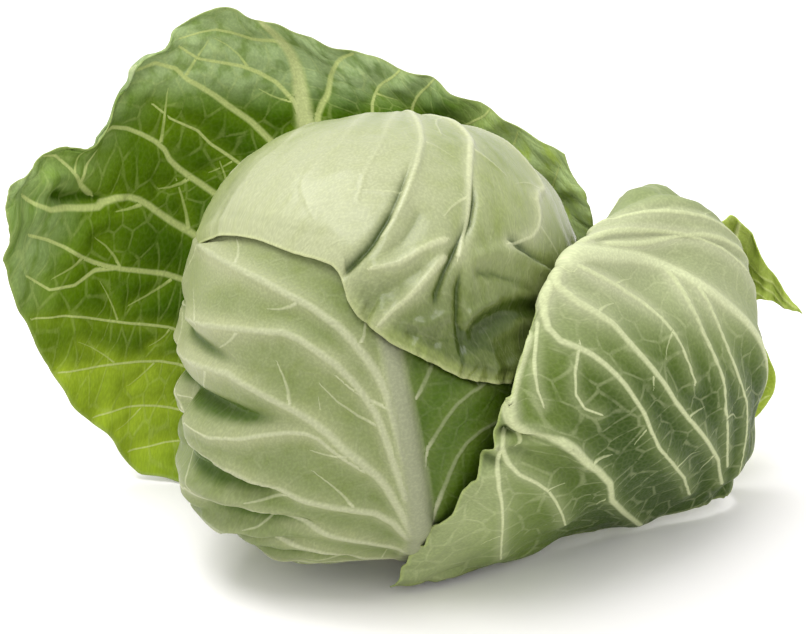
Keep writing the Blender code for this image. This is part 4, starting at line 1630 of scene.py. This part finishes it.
@dataclass
class RearLeaf(LooseLeaf):
    """The wide dark leaf that stands behind the head."""

    name: str = "rear_leaf_blade"
    node: str = "rear_leaf"
    rows: int = 214
    columns: int = 224
    net: tuple = REAR_NET
    rib_extra: float = 5.0
    swell: float = 3.0
    swell_reach: float = 7.5
    web_swell: float = 0.6
    web_cell: float = 12.0
    seed: int = 300
    face: LeafFinish = REAR_FACE
    back: LeafFinish = REAR_BACK
    nudges: tuple = (
        (0.37, 0, -5.3, -4.2, 9), (0.397, 0, -4.5, -1.5, 9), (0.427, 0, 0, -0.6, 9),
        (0.45, 0, -0.9, -3.3, 9), (0.483, 0, -4.5, -2.5, 9), (0.513, 0, -1.1, -0.3, 9),
        (0.547, 0, -1.5, -0.9, 9), (0.577, 0, -2.4, -2.3, 9), (0.65, 0, -2, -0.5, 9),
        (0.717, 0, -2, -0.1, 9), (0.833, 0, 1.8, -0.2, 9), (0.933, 0, -1, 0.4, 9),
        (1, 0.023, -1.7, 1.1, 9), (1, 0.093, -4.2, 4.7, 9), (1, 0.123, -1.1, 5.1, 9),
        (1, 0.173, 2.6, -4.6, 8), (1, 0.20, 1.8, -1.6, 8), (1, 0.24, 0.9, -1.1, 9),
        (1, 0.29, 1.7, -3.2, 9), (1, 0.337, 1.6, -1.3, 9), (1, 0.38, -0.7, 1.4, 9), (1, 0.43, 0.6, 1.5, 9),
        (1, 0.497, -0.7, -2.1, 9), (1, 0.575, -0.5, -2.2, 9), (1, 0.653, -0.3, -2.2, 9),
        (1, 0.717, 0.6, 1.5, 9), (1, 0.773, 0.8, 3.7, 9), (1, 0.833, 1.1, 2.4, 9), (1, 0.903, -0.3, 0, 9),
        (0.95, 1, -2, -0.2, 9),
    )

    def __post_init__(self) -> None:
        """Lay the veins."""
        middle = (
            (0, 0.5), (0.2, 0.5), (0.4, 0.5), (0.6, 0.495), (0.72, 0.50), (0.777, 0.51), (0.827, 0.52),
            (0.88, 0.52), (0.953, 0.51), (1, 0.50),
        )
        rib = Vein(middle, 15.0, 0.16, 1.2, 0.95, 1.0, twigs=False)
        routes = (
            (((0.60, 0.505), (0.72, 0.52), (0.783, 0.577), (0.857, 0.64), (0.973, 0.683)), 5.0),
            (((0.90, 0.515), (0.887, 0.447), (0.90, 0.413), (0.893, 0.383), (0.90, 0.34)), 2.2),
            (((0.70, 0.495), (0.76, 0.49), (0.793, 0.467), (0.807, 0.44), (0.813, 0.423), (0.82, 0.38),
              (0.86, 0.35)), 3.2),
            (((0.58, 0.485), (0.65, 0.46), (0.70, 0.44), (0.73, 0.42), (0.753, 0.397), (0.777, 0.377),
              (0.787, 0.36), (0.81, 0.347), (0.84, 0.317), (0.90, 0.27)), 4.4),
            (((0.54, 0.48), (0.62, 0.43), (0.68, 0.387), (0.703, 0.367), (0.73, 0.35), (0.743, 0.327),
              (0.78, 0.30)), 2.4),
            (((0.42, 0.48), (0.52, 0.43), (0.60, 0.375), (0.647, 0.343), (0.673, 0.323), (0.70, 0.303),
              (0.723, 0.297), (0.753, 0.273), (0.793, 0.243), (0.86, 0.20)), 4.6),
            (((0.35, 0.48), (0.45, 0.40), (0.53, 0.335), (0.597, 0.287), (0.63, 0.26), (0.667, 0.237),
              (0.69, 0.217), (0.71, 0.183), (0.71, 0.16), (0.743, 0.123), (0.787, 0.083),
              (0.867, 0.053)), 5.2),
            (((0.735, 0.165), (0.763, 0.157), (0.80, 0.15), (0.897, 0.127), (0.98, 0.10)), 3.0),
            (((0.775, 0.157), (0.79, 0.165), (0.80, 0.177), (0.812, 0.195)), 2.4),
            (((0.30, 0.48), (0.38, 0.40), (0.47, 0.31), (0.547, 0.227), (0.573, 0.19), (0.60, 0.15),
              (0.627, 0.123), (0.657, 0.103), (0.69, 0.087), (0.75, 0.05)), 4.2),
            (((0.605, 0.145), (0.62, 0.12), (0.62, 0.097), (0.62, 0.063), (0.64, 0.043),
              (0.673, 0.027)), 2.8),
            (((0.24, 0.48), (0.32, 0.39), (0.40, 0.29), (0.48, 0.19), (0.53, 0.12), (0.58, 0.06),
              (0.61, 0.01)), 2.4),
            (((0.20, 0.48), (0.28, 0.37), (0.37, 0.26), (0.44, 0.17), (0.49, 0.08), (0.525, 0.01)), 2.2),
            (((0.16, 0.48), (0.24, 0.35), (0.32, 0.23), (0.39, 0.137), (0.43, 0.07), (0.455, 0.01)), 2.0),
            (((0.12, 0.47), (0.19, 0.33), (0.27, 0.21), (0.35, 0.11), (0.39, 0.02)), 1.9),
            (((0.08, 0.46), (0.14, 0.32), (0.20, 0.18), (0.26, 0.03)), 1.8),
            (((0.52, 0.52), (0.60, 0.56), (0.67, 0.59), (0.75, 0.645), (0.82, 0.70), (0.90, 0.73),
              (0.99, 0.74)), 2.8),
            (((0.44, 0.52), (0.54, 0.58), (0.65, 0.65), (0.74, 0.71), (0.83, 0.755), (0.92, 0.772),
              (0.99, 0.777)), 2.6),
            (((0.38, 0.52), (0.49, 0.60), (0.61, 0.69), (0.73, 0.77), (0.84, 0.82), (0.93, 0.845),
              (0.99, 0.85)), 2.4),
            (((0.32, 0.52), (0.43, 0.61), (0.55, 0.72), (0.67, 0.81), (0.78, 0.87), (0.87, 0.892),
              (0.96, 0.90)), 2.4),
            (((0.26, 0.52), (0.36, 0.61), (0.47, 0.72), (0.58, 0.82), (0.70, 0.90), (0.82, 0.945),
              (0.91, 0.97)), 2.2),
            (((0.20, 0.52), (0.29, 0.62), (0.39, 0.73), (0.49, 0.84), (0.58, 0.93), (0.65, 0.985)), 2.2),
            (((0.15, 0.52), (0.23, 0.63), (0.31, 0.75), (0.39, 0.88), (0.45, 0.985)), 2.0),
            (((0.10, 0.52), (0.16, 0.64), (0.22, 0.80), (0.28, 0.97)), 1.8),
        )
        self.veins = [rib] + [
            Vein(route, 0.95 * width, 0.45, 0.2 * width, 0.85, 0.3) for route, width in routes
        ]

    def folds(self) -> list[Vein]:
        """The deep pucker under the left lobe, and the round lobe above it.

        Returns:
            The folds.
        """
        return [
            Vein(((0.79, 0.115), (0.767, 0.125), (0.75, 0.143), (0.72, 0.17)), 8.0, 0.7, -6.0, 0),
            Vein(((0.84, 0.10), (0.81, 0.13), (0.78, 0.175)), 8.0, 0.6, 3.0, 0),
            Vein(((0.80, 0.07), (0.745, 0.115), (0.712, 0.16), (0.70, 0.20)), 6.0, 0.6, 2.6, 0),
            Vein(((0.66, 0.09), (0.69, 0.14), (0.67, 0.20)), 9.0, 0.5, 2.0, 0),
        ]

    def relief(self) -> np.ndarray:
        """Waves that grow towards the margin.

        Returns:
            Height in millimetres.
        """
        sheet = self.sheet
        edge = 1 - smooth(sheet.margin / 34)
        grow = band(sheet.u, 0.18, 0.5)
        wave = value_noise(sheet.along / 17, sheet.across / 22, self.seed + 5)
        small = value_noise(sheet.along / 8, sheet.across / 9, self.seed + 6)
        slow = value_noise(sheet.along / 42, sheet.across / 50, self.seed + 7)
        return grow * (3.4 * edge * wave + 1.3 * edge * small + 2.2 * slow)

    def shades(self) -> dict[str, np.ndarray]:
        """Yellowish painted light shining through low on the left and painted light far right; waxy near the
        upper margin.

        Returns:
            Shares for each attribute.
        """
        sheet = self.sheet
        right, rise = across_view(sheet.base).T
        reach = np.hypot(right, rise)
        # Painted shade, dark and saturated, in the basins near the head and between the veins, less on the
        # far right and low on the left.
        between = 1 - np.exp(-(self.mark.away / 5.0) ** 2)
        far_right = band(right, 18, 72)
        basin_shade = (1 - band(reach, 142, 178)) * (0.35 + 0.65 * between) * (1 - 0.4 * band(reach, 112, 146))
        basin_shade = np.maximum(basin_shade, band(-rise, -45, 20) * (0.15 + 0.6 * between))
        basin_shade *= (1 - 0.95 * far_right) * (1 - 0.9 * band(-rise, 0, 28) * band(-right, 75, 112))
        pit = np.clip((-self.fold - 1.5) / 3.0, 0, 1)
        outer = band(reach, 148, 182) * band(rise, -10, 40)
        low = band(-rise, -20, 24) * band(-right, 70, 115)
        bloom_and_painted_light = outer * (0.55 + 0.45 * value_noise(sheet.along / 26, sheet.across / 26, self.seed + 8))
        bloom_and_painted_light = np.maximum(bloom_and_painted_light, 0.95 * band(rise, 104, 126))
        bloom_and_painted_light = np.maximum(bloom_and_painted_light, far_right)
        # Painted light: the pale colour low on the left stands for light shining through the leaf, and the
        # far right is brightened with the pale and the waxy colours.
        return {
            "tone_and_painted_light": np.clip(low * (1 - 0.3 * between) + far_right, 0, 1),
            "bloom_and_painted_light": np.clip(bloom_and_painted_light, 0, 1) * (1 - pit), "painted_shade": np.clip(np.maximum(basin_shade, pit), 0, 1),
        }


@dataclass
class RightLeaf(LooseLeaf):
    """The leaf that rises beside the head and folds over to the right."""

    name: str = "right_leaf_blade"
    node: str = "right_leaf"
    rows: int = 284
    columns: int = 168
    net: tuple = RIGHT_NET
    rib_extra: float = 4.0
    swell: float = -3.0
    swell_reach: float = 9.0
    lay: Lay = Lay.RIDGED
    web_swell: float = 0.3
    seed: int = 400
    face: LeafFinish = RIGHT_BACK
    back: LeafFinish = RIGHT_FACE
    nudges: tuple = (
        (0.80, 0.95, -7, 0, 18), (0.85, 0.85, -7, 0, 18), (0.90, 0.98, -10, 0, 18),
        (0.92, 0.80, -8, 0, 18), (1, 0.70, -7, 2, 18), (1, 0.85, -8.5, 2, 18), (0.577, 1, 0.5, 4.4, 9),
        (0.545, 0.93, -1.8, 2.8, 8), (0.617, 0.91, -1.5, -4, 7), (0.60, 0.98, 0, 1.5, 6),
    )

    def __post_init__(self) -> None:
        """Lay the veins."""
        middle = (
            (0, 0.5), (0.15, 0.49), (0.30, 0.45), (0.43, 0.38), (0.50, 0.38), (0.53, 0.50), (0.567, 0.56),
            (0.60, 0.595), (0.65, 0.597), (0.71, 0.595), (0.77, 0.613), (0.84, 0.64), (0.91, 0.683),
            (1, 0.74),
        )
        rib = Vein(middle, 10.0, 0.2, 1.6, 0.9, 0.9, twigs=False)
        routes = (
            (((0.64, 0.597), (0.68, 0.57), (0.72, 0.547), (0.78, 0.527), (0.83, 0.515), (0.88, 0.505),
              (0.95, 0.55)), 2.4),
            (((0.70, 0.593), (0.745, 0.575), (0.79, 0.557), (0.84, 0.545), (0.90, 0.567), (0.97, 0.61)),
              1.9),
            (((0.47, 0.33), (0.52, 0.24), (0.563, 0.303), (0.623, 0.38), (0.69, 0.41), (0.753, 0.43),
              (0.823, 0.44), (0.89, 0.473), (0.97, 0.557)), 2.8),
            (((0.53, 0.40), (0.557, 0.43), (0.617, 0.475), (0.687, 0.49), (0.743, 0.49), (0.80, 0.475)),
              2.1),
            (((0.46, 0.26), (0.52, 0.14), (0.567, 0.17), (0.64, 0.303), (0.703, 0.36), (0.77, 0.383),
              (0.863, 0.397), (0.967, 0.487)), 2.4),
            (((0.56, 0.012), (0.623, 0.012), (0.663, 0.053), (0.69, 0.11), (0.717, 0.18), (0.743, 0.237),
              (0.77, 0.273), (0.82, 0.30), (0.87, 0.327), (0.927, 0.35), (0.99, 0.42)), 4.2),
            (((0.70, 0.07), (0.74, 0.09), (0.84, 0.177), (0.973, 0.233)), 1.7),
            (((0.72, 0.08), (0.76, 0.15), (0.827, 0.235), (0.88, 0.27), (0.937, 0.297)), 1.7),
            (((0.635, 0.303), (0.68, 0.285), (0.72, 0.295), (0.75, 0.327)), 1.4),
            (((0.56, 0.11), (0.60, 0.135), (0.64, 0.165), (0.69, 0.215)), 1.4),
            (((0.50, 0.58), (0.527, 0.64), (0.58, 0.68), (0.66, 0.703), (0.74, 0.74), (0.84, 0.80)), 1.8),
            (((0.50, 0.70), (0.573, 0.735), (0.65, 0.76), (0.74, 0.84), (0.84, 0.93)), 1.6),
            (((0.55, 0.60), (0.62, 0.67), (0.70, 0.75), (0.79, 0.86), (0.86, 0.96)), 2.0),
            (((0.10, 0.50), (0.20, 0.62), (0.32, 0.74), (0.44, 0.84), (0.52, 0.92)), 2.2),
            (((0.18, 0.49), (0.28, 0.60), (0.38, 0.68), (0.47, 0.74)), 2.0),
            (((0.12, 0.49), (0.22, 0.36), (0.34, 0.22), (0.44, 0.12)), 2.2),
            (((0.22, 0.47), (0.32, 0.36), (0.42, 0.26)), 2.0),
        )
        self.veins = [rib] + [
            Vein(route, 1.1 * width, 0.5, 0.4 * width, 0.85, 0.3) for route, width in routes
        ]

    def twig_plan(self) -> tuple[float, float]:
        """Few, short twigs: the net between the veins is fine here."""
        return 44.0, 15.0

    def lifted(self, height: np.ndarray) -> np.ndarray:
        """The blade with its relief, which turns over at the crest with the side that shows."""
        turn = 1 - 2 * band(self.sheet.u, 0.42, 0.50)
        return self.sheet.base + self.sheet.normal * (height * turn)[:, None]

    def folds(self) -> list[Vein]:
        """The ledge under the thick lower vein, the notch in the front margin and the top's creases.

        Returns:
            The folds.
        """
        return [
            Vein(((0.64, 0.03), (0.68, 0.085), (0.705, 0.145), (0.735, 0.225), (0.77, 0.265),
                 (0.83, 0.295)), 5.0, 0.7, 0.8, 0, step=-3.0),
            Vein(((0.713, 0.01), (0.713, 0.063), (0.723, 0.15), (0.74, 0.203), (0.76, 0.247),
                 (0.773, 0.273), (0.807, 0.30)), 4.6, 0.6, 3.4, 0, ends=0.15),
            Vein(((0.683, 0.02), (0.70, 0.08), (0.712, 0.143), (0.731, 0.213), (0.75, 0.25),
                 (0.775, 0.285)), 3.6, 0.6, -2.8, 0, ends=0.15),
            Vein(((0.72, 0.10), (0.755, 0.19), (0.80, 0.25), (0.86, 0.29)), 7.0, 0.6, -2.0, 0),
            Vein(((0.735, 0.0), (0.745, 0.06), (0.75, 0.10)), 6.0, 0.6, -3.0, 0),
            Vein(((0.70, 0.0), (0.71, 0.05)), 5.0, 0.6, 2.6, 0),
            Vein(((0.53, 0.62), (0.587, 0.667), (0.663, 0.70), (0.74, 0.77)), 4.0, 0.6, -1.4, 0),
            Vein(((0.54, 0.72), (0.60, 0.76), (0.67, 0.80), (0.74, 0.88)), 4.0, 0.6, -1.3, 0),
            Vein(((0.55, 0.84), (0.60, 0.87), (0.66, 0.91)), 4.0, 0.6, -1.2, 0),
        ]

    def relief(self) -> np.ndarray:
        """A frilled front margin, and slow waves over the falling side.

        Returns:
            Height in millimetres.
        """
        sheet = self.sheet
        edge = 1 - smooth(sheet.margin / 20)
        fall = band(sheet.u, 0.48, 0.62)
        left = band(-sheet.v, -0.5, -0.25)
        wave = value_noise(sheet.along / 10, sheet.across / 16, self.seed + 5)
        small = value_noise(sheet.along / 4.5, sheet.across / 7, self.seed + 6)
        slow = value_noise(sheet.along / 30, sheet.across / 30, self.seed + 7)
        return fall * (edge * left * (2.6 * wave + 1.6 * small) + 0.6 * edge * wave + 1.2 * slow)

    def shades(self) -> dict[str, np.ndarray]:
        """Painted light along the top and crests, waxy on the right, painted shade low down and in the
        folds.

        Returns:
            Shares for each attribute.
        """
        sheet = self.sheet
        right, rise = across_view(sheet.base).T
        # Painted light along the top, on the raised crests and along the vein ridges; painted shade low
        # down, between the veins and in the folds' pits.
        vein_highlight = np.exp(-(self.main_away / 4.5) ** 2)
        fall = band(sheet.u, 0.40, 0.48)
        top = band(rise, -20, 22) * fall * (1 - 0.4 * band(sheet.v, 0.66, 0.9))
        side = band(sheet.v, 0.66, 0.9)
        low = band(-rise, -12, 34) * band(right, 45, 108)
        dark = low * (0.5 + 0.5 * (1 - vein_highlight)) * (1 - 0.2 * side)
        flap = band(sheet.u, 0.715, 0.74) * (1 - band(sheet.v, 0.12, 0.30))
        tone_and_painted_light = np.maximum(top * (0.58 + 0.42 * vein_highlight), 0.45 * vein_highlight * (1 - 0.4 * low))
        crest = 0.6 * np.clip((self.fold - 0.8) / 2.4, 0, 1)
        tone_and_painted_light = np.maximum(tone_and_painted_light, np.maximum(0.38 * flap, crest))
        bloom_and_painted_light = np.clip(0.5 * side * (1 - dark), 0, 1)
        pit = np.clip((-self.fold - 0.8) / 2.4, 0, 1) * fall
        return {"tone_and_painted_light": tone_and_painted_light, "bloom_and_painted_light": bloom_and_painted_light, "painted_shade": np.maximum(0.95 * dark, 0.8 * pit)}


@dataclass
class SmallLeaf(LooseLeaf):
    """The small leaf whose edge shows behind the right one."""

    name: str = "small_leaf_blade"
    node: str = "small_leaf"
    rows: int = 120
    columns: int = 130
    net: tuple = SMALL_NET
    rib_extra: float = 3.0
    swell: float = 1.8
    swell_reach: float = 6.0
    seed: int = 500
    face: LeafFinish = SMALL_FACE
    nudges: tuple = (
        (0.60, 0.16, -7, 0, 16), (0.50, 0.02, -7, 0, 16), (0.70, 0.05, -6, 0, 12), (1, 0.74, 0, -9, 9),
    )

    def __post_init__(self) -> None:
        """Lay the veins by rule, on both sides of the middle rib."""
        middle = ((0, 0.5), (0.3, 0.5), (0.6, 0.5), (0.8, 0.49), (1, 0.48))
        rib = Vein(middle, 9.0, 0.2, 1.2, 0.9, 0.9, twigs=False)
        self.veins = [rib]
        for start in np.linspace(0.15, 0.8, 7):
            for side in (-1, 1):
                route = tuple(
                    (float(min(start + 0.3 * t ** 1.2 * (1 - 0.3 * start), 0.99)), 0.5 + side * 0.48 * t)
                    for t in (0.0, 0.3, 0.6, 1.0)
                )
                self.veins.append(Vein(route, 2.0, 0.45, 0.4, 0.8, 0.2))

    def relief(self) -> np.ndarray:
        """A bumpy, waved margin.

        Returns:
            Height in millimetres.
        """
        sheet = self.sheet
        edge = 1 - smooth(sheet.margin / 20)
        wave = value_noise(sheet.along / 13, sheet.across / 13, self.seed + 5)
        small = value_noise(sheet.along / 6, sheet.across / 6, self.seed + 6)
        return band(sheet.u, 0.2, 0.5) * edge * (2.2 * wave + 1.2 * small)

    def shades(self) -> dict[str, np.ndarray]:
        """Brighter towards the tip."""
        return {"tone_and_painted_light": 0.6 * band(self.sheet.u, 0.4, 1.0), "bloom_and_painted_light": 0.2 * band(self.sheet.u, 0.6, 1.0)}


@dataclass
class InnerHead:
    """The dense ball of inner leaves, with the edges of a few of them showing."""

    name: str = "inner_head"
    node: str = "head"
    around: int = 220
    up: int = 130
    inset: float = 8.2
    step: float = 0.49
    step_width: float = 0.05
    rim_width: float = 0.012
    rib_turn: float = 24.0
    rib_lean: float = 12.0
    lobes: tuple = ((150, 10, 0.15), (215, 30, 0.3), (250, -20, 0.35), (100, 0, 0.4))

    def build(self) -> bpy.types.Object:
        """Make the ball, and put it in place of its CAD node.

        Returns:
            The ball's object.
        """
        form = bmesh.new()
        bmesh.ops.create_uvsphere(form, u_segments=self.around, v_segments=self.up, radius=1.0)
        way = np.array([vert.co[:] for vert in form.verts])
        mesh = mesh_of(form, self.name)
        standoff = np.full(len(way), -self.inset)
        edge_share = np.zeros(len(way))
        turn = np.arctan2(way[:, 1], way[:, 0])
        for azimuth, elevation, reach in self.lobes:
            axis = directions(azimuth, elevation)
            wave = 0.06 * np.sin(5 * turn + azimuth) + 0.01 * np.sin(23 * turn + elevation)
            cut = way @ axis - reach + wave
            standoff += self.step * smooth(cut / self.step_width)
            edge_share = np.maximum(edge_share, np.exp(-(cut / self.rim_width) ** 2))
        points = HEAD.surface(way, standoff)
        mesh.vertices.foreach_set("co", (points * MM).ravel())
        far = np.full(len(way), 4.0)
        sweep = np.degrees(np.arctan2(way[:, 0], -way[:, 1]))
        lean = sweep + self.rib_lean * way[:, 2]
        rib = np.abs((lean % self.rib_turn) - 0.5 * self.rib_turn) / 1.1 + 0.02
        values = {
            "vein_gap": np.minimum(rib, far), "vein_side": np.minimum(rib, far),
            "vein_pale": np.full(len(way), 0.5), "vein_white": np.full(len(way), 0.4),
            "web_gap": far, "web_side": far, "rim": edge_share, "painted_shade": np.zeros(len(way)),
            "tone_and_painted_light": np.full(len(way), 0.3), "bloom_and_painted_light": np.full(len(way), 0.3),
        }
        write_points(mesh, values)
        chart = np.stack([sweep / 180 * math.pi * HEAD.half[0], points[:, 2]], 1)
        write_map(mesh, chart[corner_points(mesh)])
        mesh.shade_smooth()
        mesh.materials.append(BALL_FINISH.material())
        return stand_in(in_scene(mesh), self.node)


@dataclass(frozen=True)
class CutFinish:
    """Colours of the cut stump: fibrous grain, with patchy dry colour at its cut face."""

    name: str = "stump_flesh"
    flesh: tuple[int, int, int] = (214, 212, 172)
    bark: tuple[int, int, int] = (176, 184, 120)
    dry: tuple[int, int, int] = (150, 128, 84)

    def material(self) -> bpy.types.Material:
        """Draw the finish as a node material.

        Returns:
            The material.
        """
        sketch = NodeSketch(self.name)
        spot = sketch.place(1.0)
        grain = sketch.noise(spot, 260.0, 4.0)
        wide = sketch.noise(spot, 60.0, 2.0)
        parts = sketch.node("ShaderNodeSeparateXYZ")
        sketch.plug(parts.inputs[0], spot)
        low = sketch.ease(parts.outputs["Z"], 0.0, 0.004, 1.0, 0.0)
        colour = sketch.blend(sketch.ease(grain, 0.35, 0.65), linear(self.flesh), linear(self.bark))
        dried = sketch.sum_of("MULTIPLY", low, sketch.ease(wide, 0.3, 0.7, 0.2, 0.8))
        colour = sketch.blend(dried, colour, linear(self.dry))
        sketch.plug(sketch.shader.inputs["Base Color"], colour)
        sketch.shine(Roughness=0.65)
        sketch.bump(grain, 0.5, 0.001)
        return sketch.material


@dataclass
class Stump:
    """The short stump under the head, cut flat."""

    name: str = "stem_stump"
    node: str = "stem"
    cut_radius: float = 17.4
    radius: float = 18.6
    shoulder: float = 9.0
    top: float = 14.2
    steps: int = 120
    bevel: float = 1.2
    sharp: float = 40.0
    grooves: int = 17
    groove_depth: float = 0.012

    def build(self) -> bpy.types.Object:
        """Turn the stump, and put it in place of its CAD node.

        Returns:
            The stump's object.
        """
        profile = [(0.0, 0.0), (0.35 * self.cut_radius, 0.0), (0.7 * self.cut_radius, 0.0)]
        profile += [(self.cut_radius, 0.0), (self.radius, self.bevel), (self.radius, 0.5 * self.shoulder)]
        profile += [(self.radius, self.shoulder), (self.radius - 3.6, self.top - 1.8)]
        profile += [(self.radius - 10, self.top - 0.3), (0.0, self.top)]
        form = bmesh.new()
        verts = [form.verts.new((r * MM, 0.0, z * MM)) for r, z in profile]
        edges = [form.edges.new(pair) for pair in zip(verts[:-1], verts[1:])]
        bmesh.ops.spin(
            form, geom=verts + edges, cent=(0, 0, 0), axis=(0, 0, 1), angle=math.tau,
            steps=self.steps, use_merge=True, use_duplicate=False,
        )
        bmesh.ops.remove_doubles(form, verts=form.verts[:], dist=1e-6)
        bmesh.ops.recalc_face_normals(form, faces=form.faces[:])
        for vert in form.verts:
            turn = math.atan2(vert.co.y, vert.co.x)
            groove = 1 - self.groove_depth * (0.5 + 0.5 * math.sin(self.grooves * turn))
            if vert.co.z > 0.5 * self.bevel * MM:
                vert.co.x *= groove
                vert.co.y *= groove
        mesh = mesh_of(form, self.name)
        mesh.shade_smooth()
        mesh.set_sharp_from_angle(angle=math.radians(self.sharp))
        mesh.materials.append(CutFinish().material())
        return stand_in(in_scene(mesh), self.node)


@dataclass
class Studio:
    """Camera, lights and floor."""

    target: tuple[float, float, float] = (8.2, 0.0, 111.6)
    distance: float = 1150.0
    elevation: float = VIEW_TILT
    lens: float = 114.0
    floor_half: float = 4000.0
    floor_colour: tuple[int, int, int] = (252, 249, 249)
    sky: float = 1.12
    key_power: float = 8.0
    key_place: tuple[float, float, float] = (-520.0, 190.0, 1300.0)
    key_size: tuple[float, float] = (0.75, 0.6)
    window_power: float = 5.8
    window_place: tuple[float, float, float] = (-198.0, -441.0, 1317.0)
    window_size: tuple[float, float] = (0.5, 0.62)

    def build(self) -> None:
        """Make the camera, the lights, the sky and the floor."""
        bpy.context.scene.view_settings.view_transform = "Standard"
        self.camera()
        self.area("key_light", self.key_place, self.key_size, self.key_power)
        self.area("window_light", self.window_place, self.window_size, self.window_power)
        self.world()
        self.floor()
        log.info("studio: camera, two lights, sky and floor")

    def aim(self, item: bpy.types.Object, place: Vector) -> None:
        """Put an object at a place, looking at the cabbage.

        Args:
            item: The camera or light.
            place: Where it stands, in millimetres.
        """
        item.location = place * MM
        item.rotation_euler = (Vector(self.target) - place).to_track_quat("-Z", "Y").to_euler()
        bpy.context.scene.collection.objects.link(item)

    def camera(self) -> None:
        """The camera at the photograph's viewing angle."""
        data = bpy.data.cameras.new("camera")
        data.lens = self.lens
        data.sensor_width = 36.0
        data.clip_end = 50.0
        item = bpy.data.objects.new("camera", data)
        tilt = math.radians(self.elevation)
        away = Vector((0.0, -math.cos(tilt), math.sin(tilt))) * self.distance
        self.aim(item, Vector(self.target) + away)
        bpy.context.scene.camera = item

    def area(
        self, name: str, place: tuple[float, float, float], size: tuple[float, float], power: float
    ) -> None:
        """A soft rectangular light.

        Args:
            name: The light's name.
            place: Where it stands, in millimetres.
            size: Its sides in metres.
            power: Its power in watts.
        """
        data = bpy.data.lights.new(name, "AREA")
        data.shape = "RECTANGLE"
        data.size = size[0]
        data.size_y = size[1]
        data.energy = power
        self.aim(bpy.data.objects.new(name, data), Vector(place))

    def world(self) -> None:
        """A plain white sky."""
        world = bpy.data.worlds.new("studio_sky")
        world.use_nodes = True
        back = world.node_tree.nodes["Background"]
        back.inputs["Color"].default_value = (1.0, 1.0, 1.0, 1.0)
        back.inputs["Strength"].default_value = self.sky
        bpy.context.scene.world = world

    def floor(self) -> None:
        """A plain pale floor."""
        form = bmesh.new()
        bmesh.ops.create_grid(form, x_segments=4, y_segments=4, size=self.floor_half * MM)
        mesh = mesh_of(form, "studio_floor")
        sketch = NodeSketch("pale_floor")
        sketch.shader.inputs["Base Color"].default_value = linear(self.floor_colour)
        sketch.shine(Roughness=0.9)
        mesh.materials.append(sketch.material)
        in_scene(mesh)


def main() -> None:
    """Build the cabbage and its studio."""
    logging.basicConfig(level=logging.INFO, format="%(name)s %(message)s")
    Studio().build()
    Stump().build()
    InnerHead().build()
    FrontLeaf().build()
    CapLeaf().build()
    RearLeaf().build()
    RightLeaf().build()
    SmallLeaf().build()


if __name__ == "__main__":
    main()
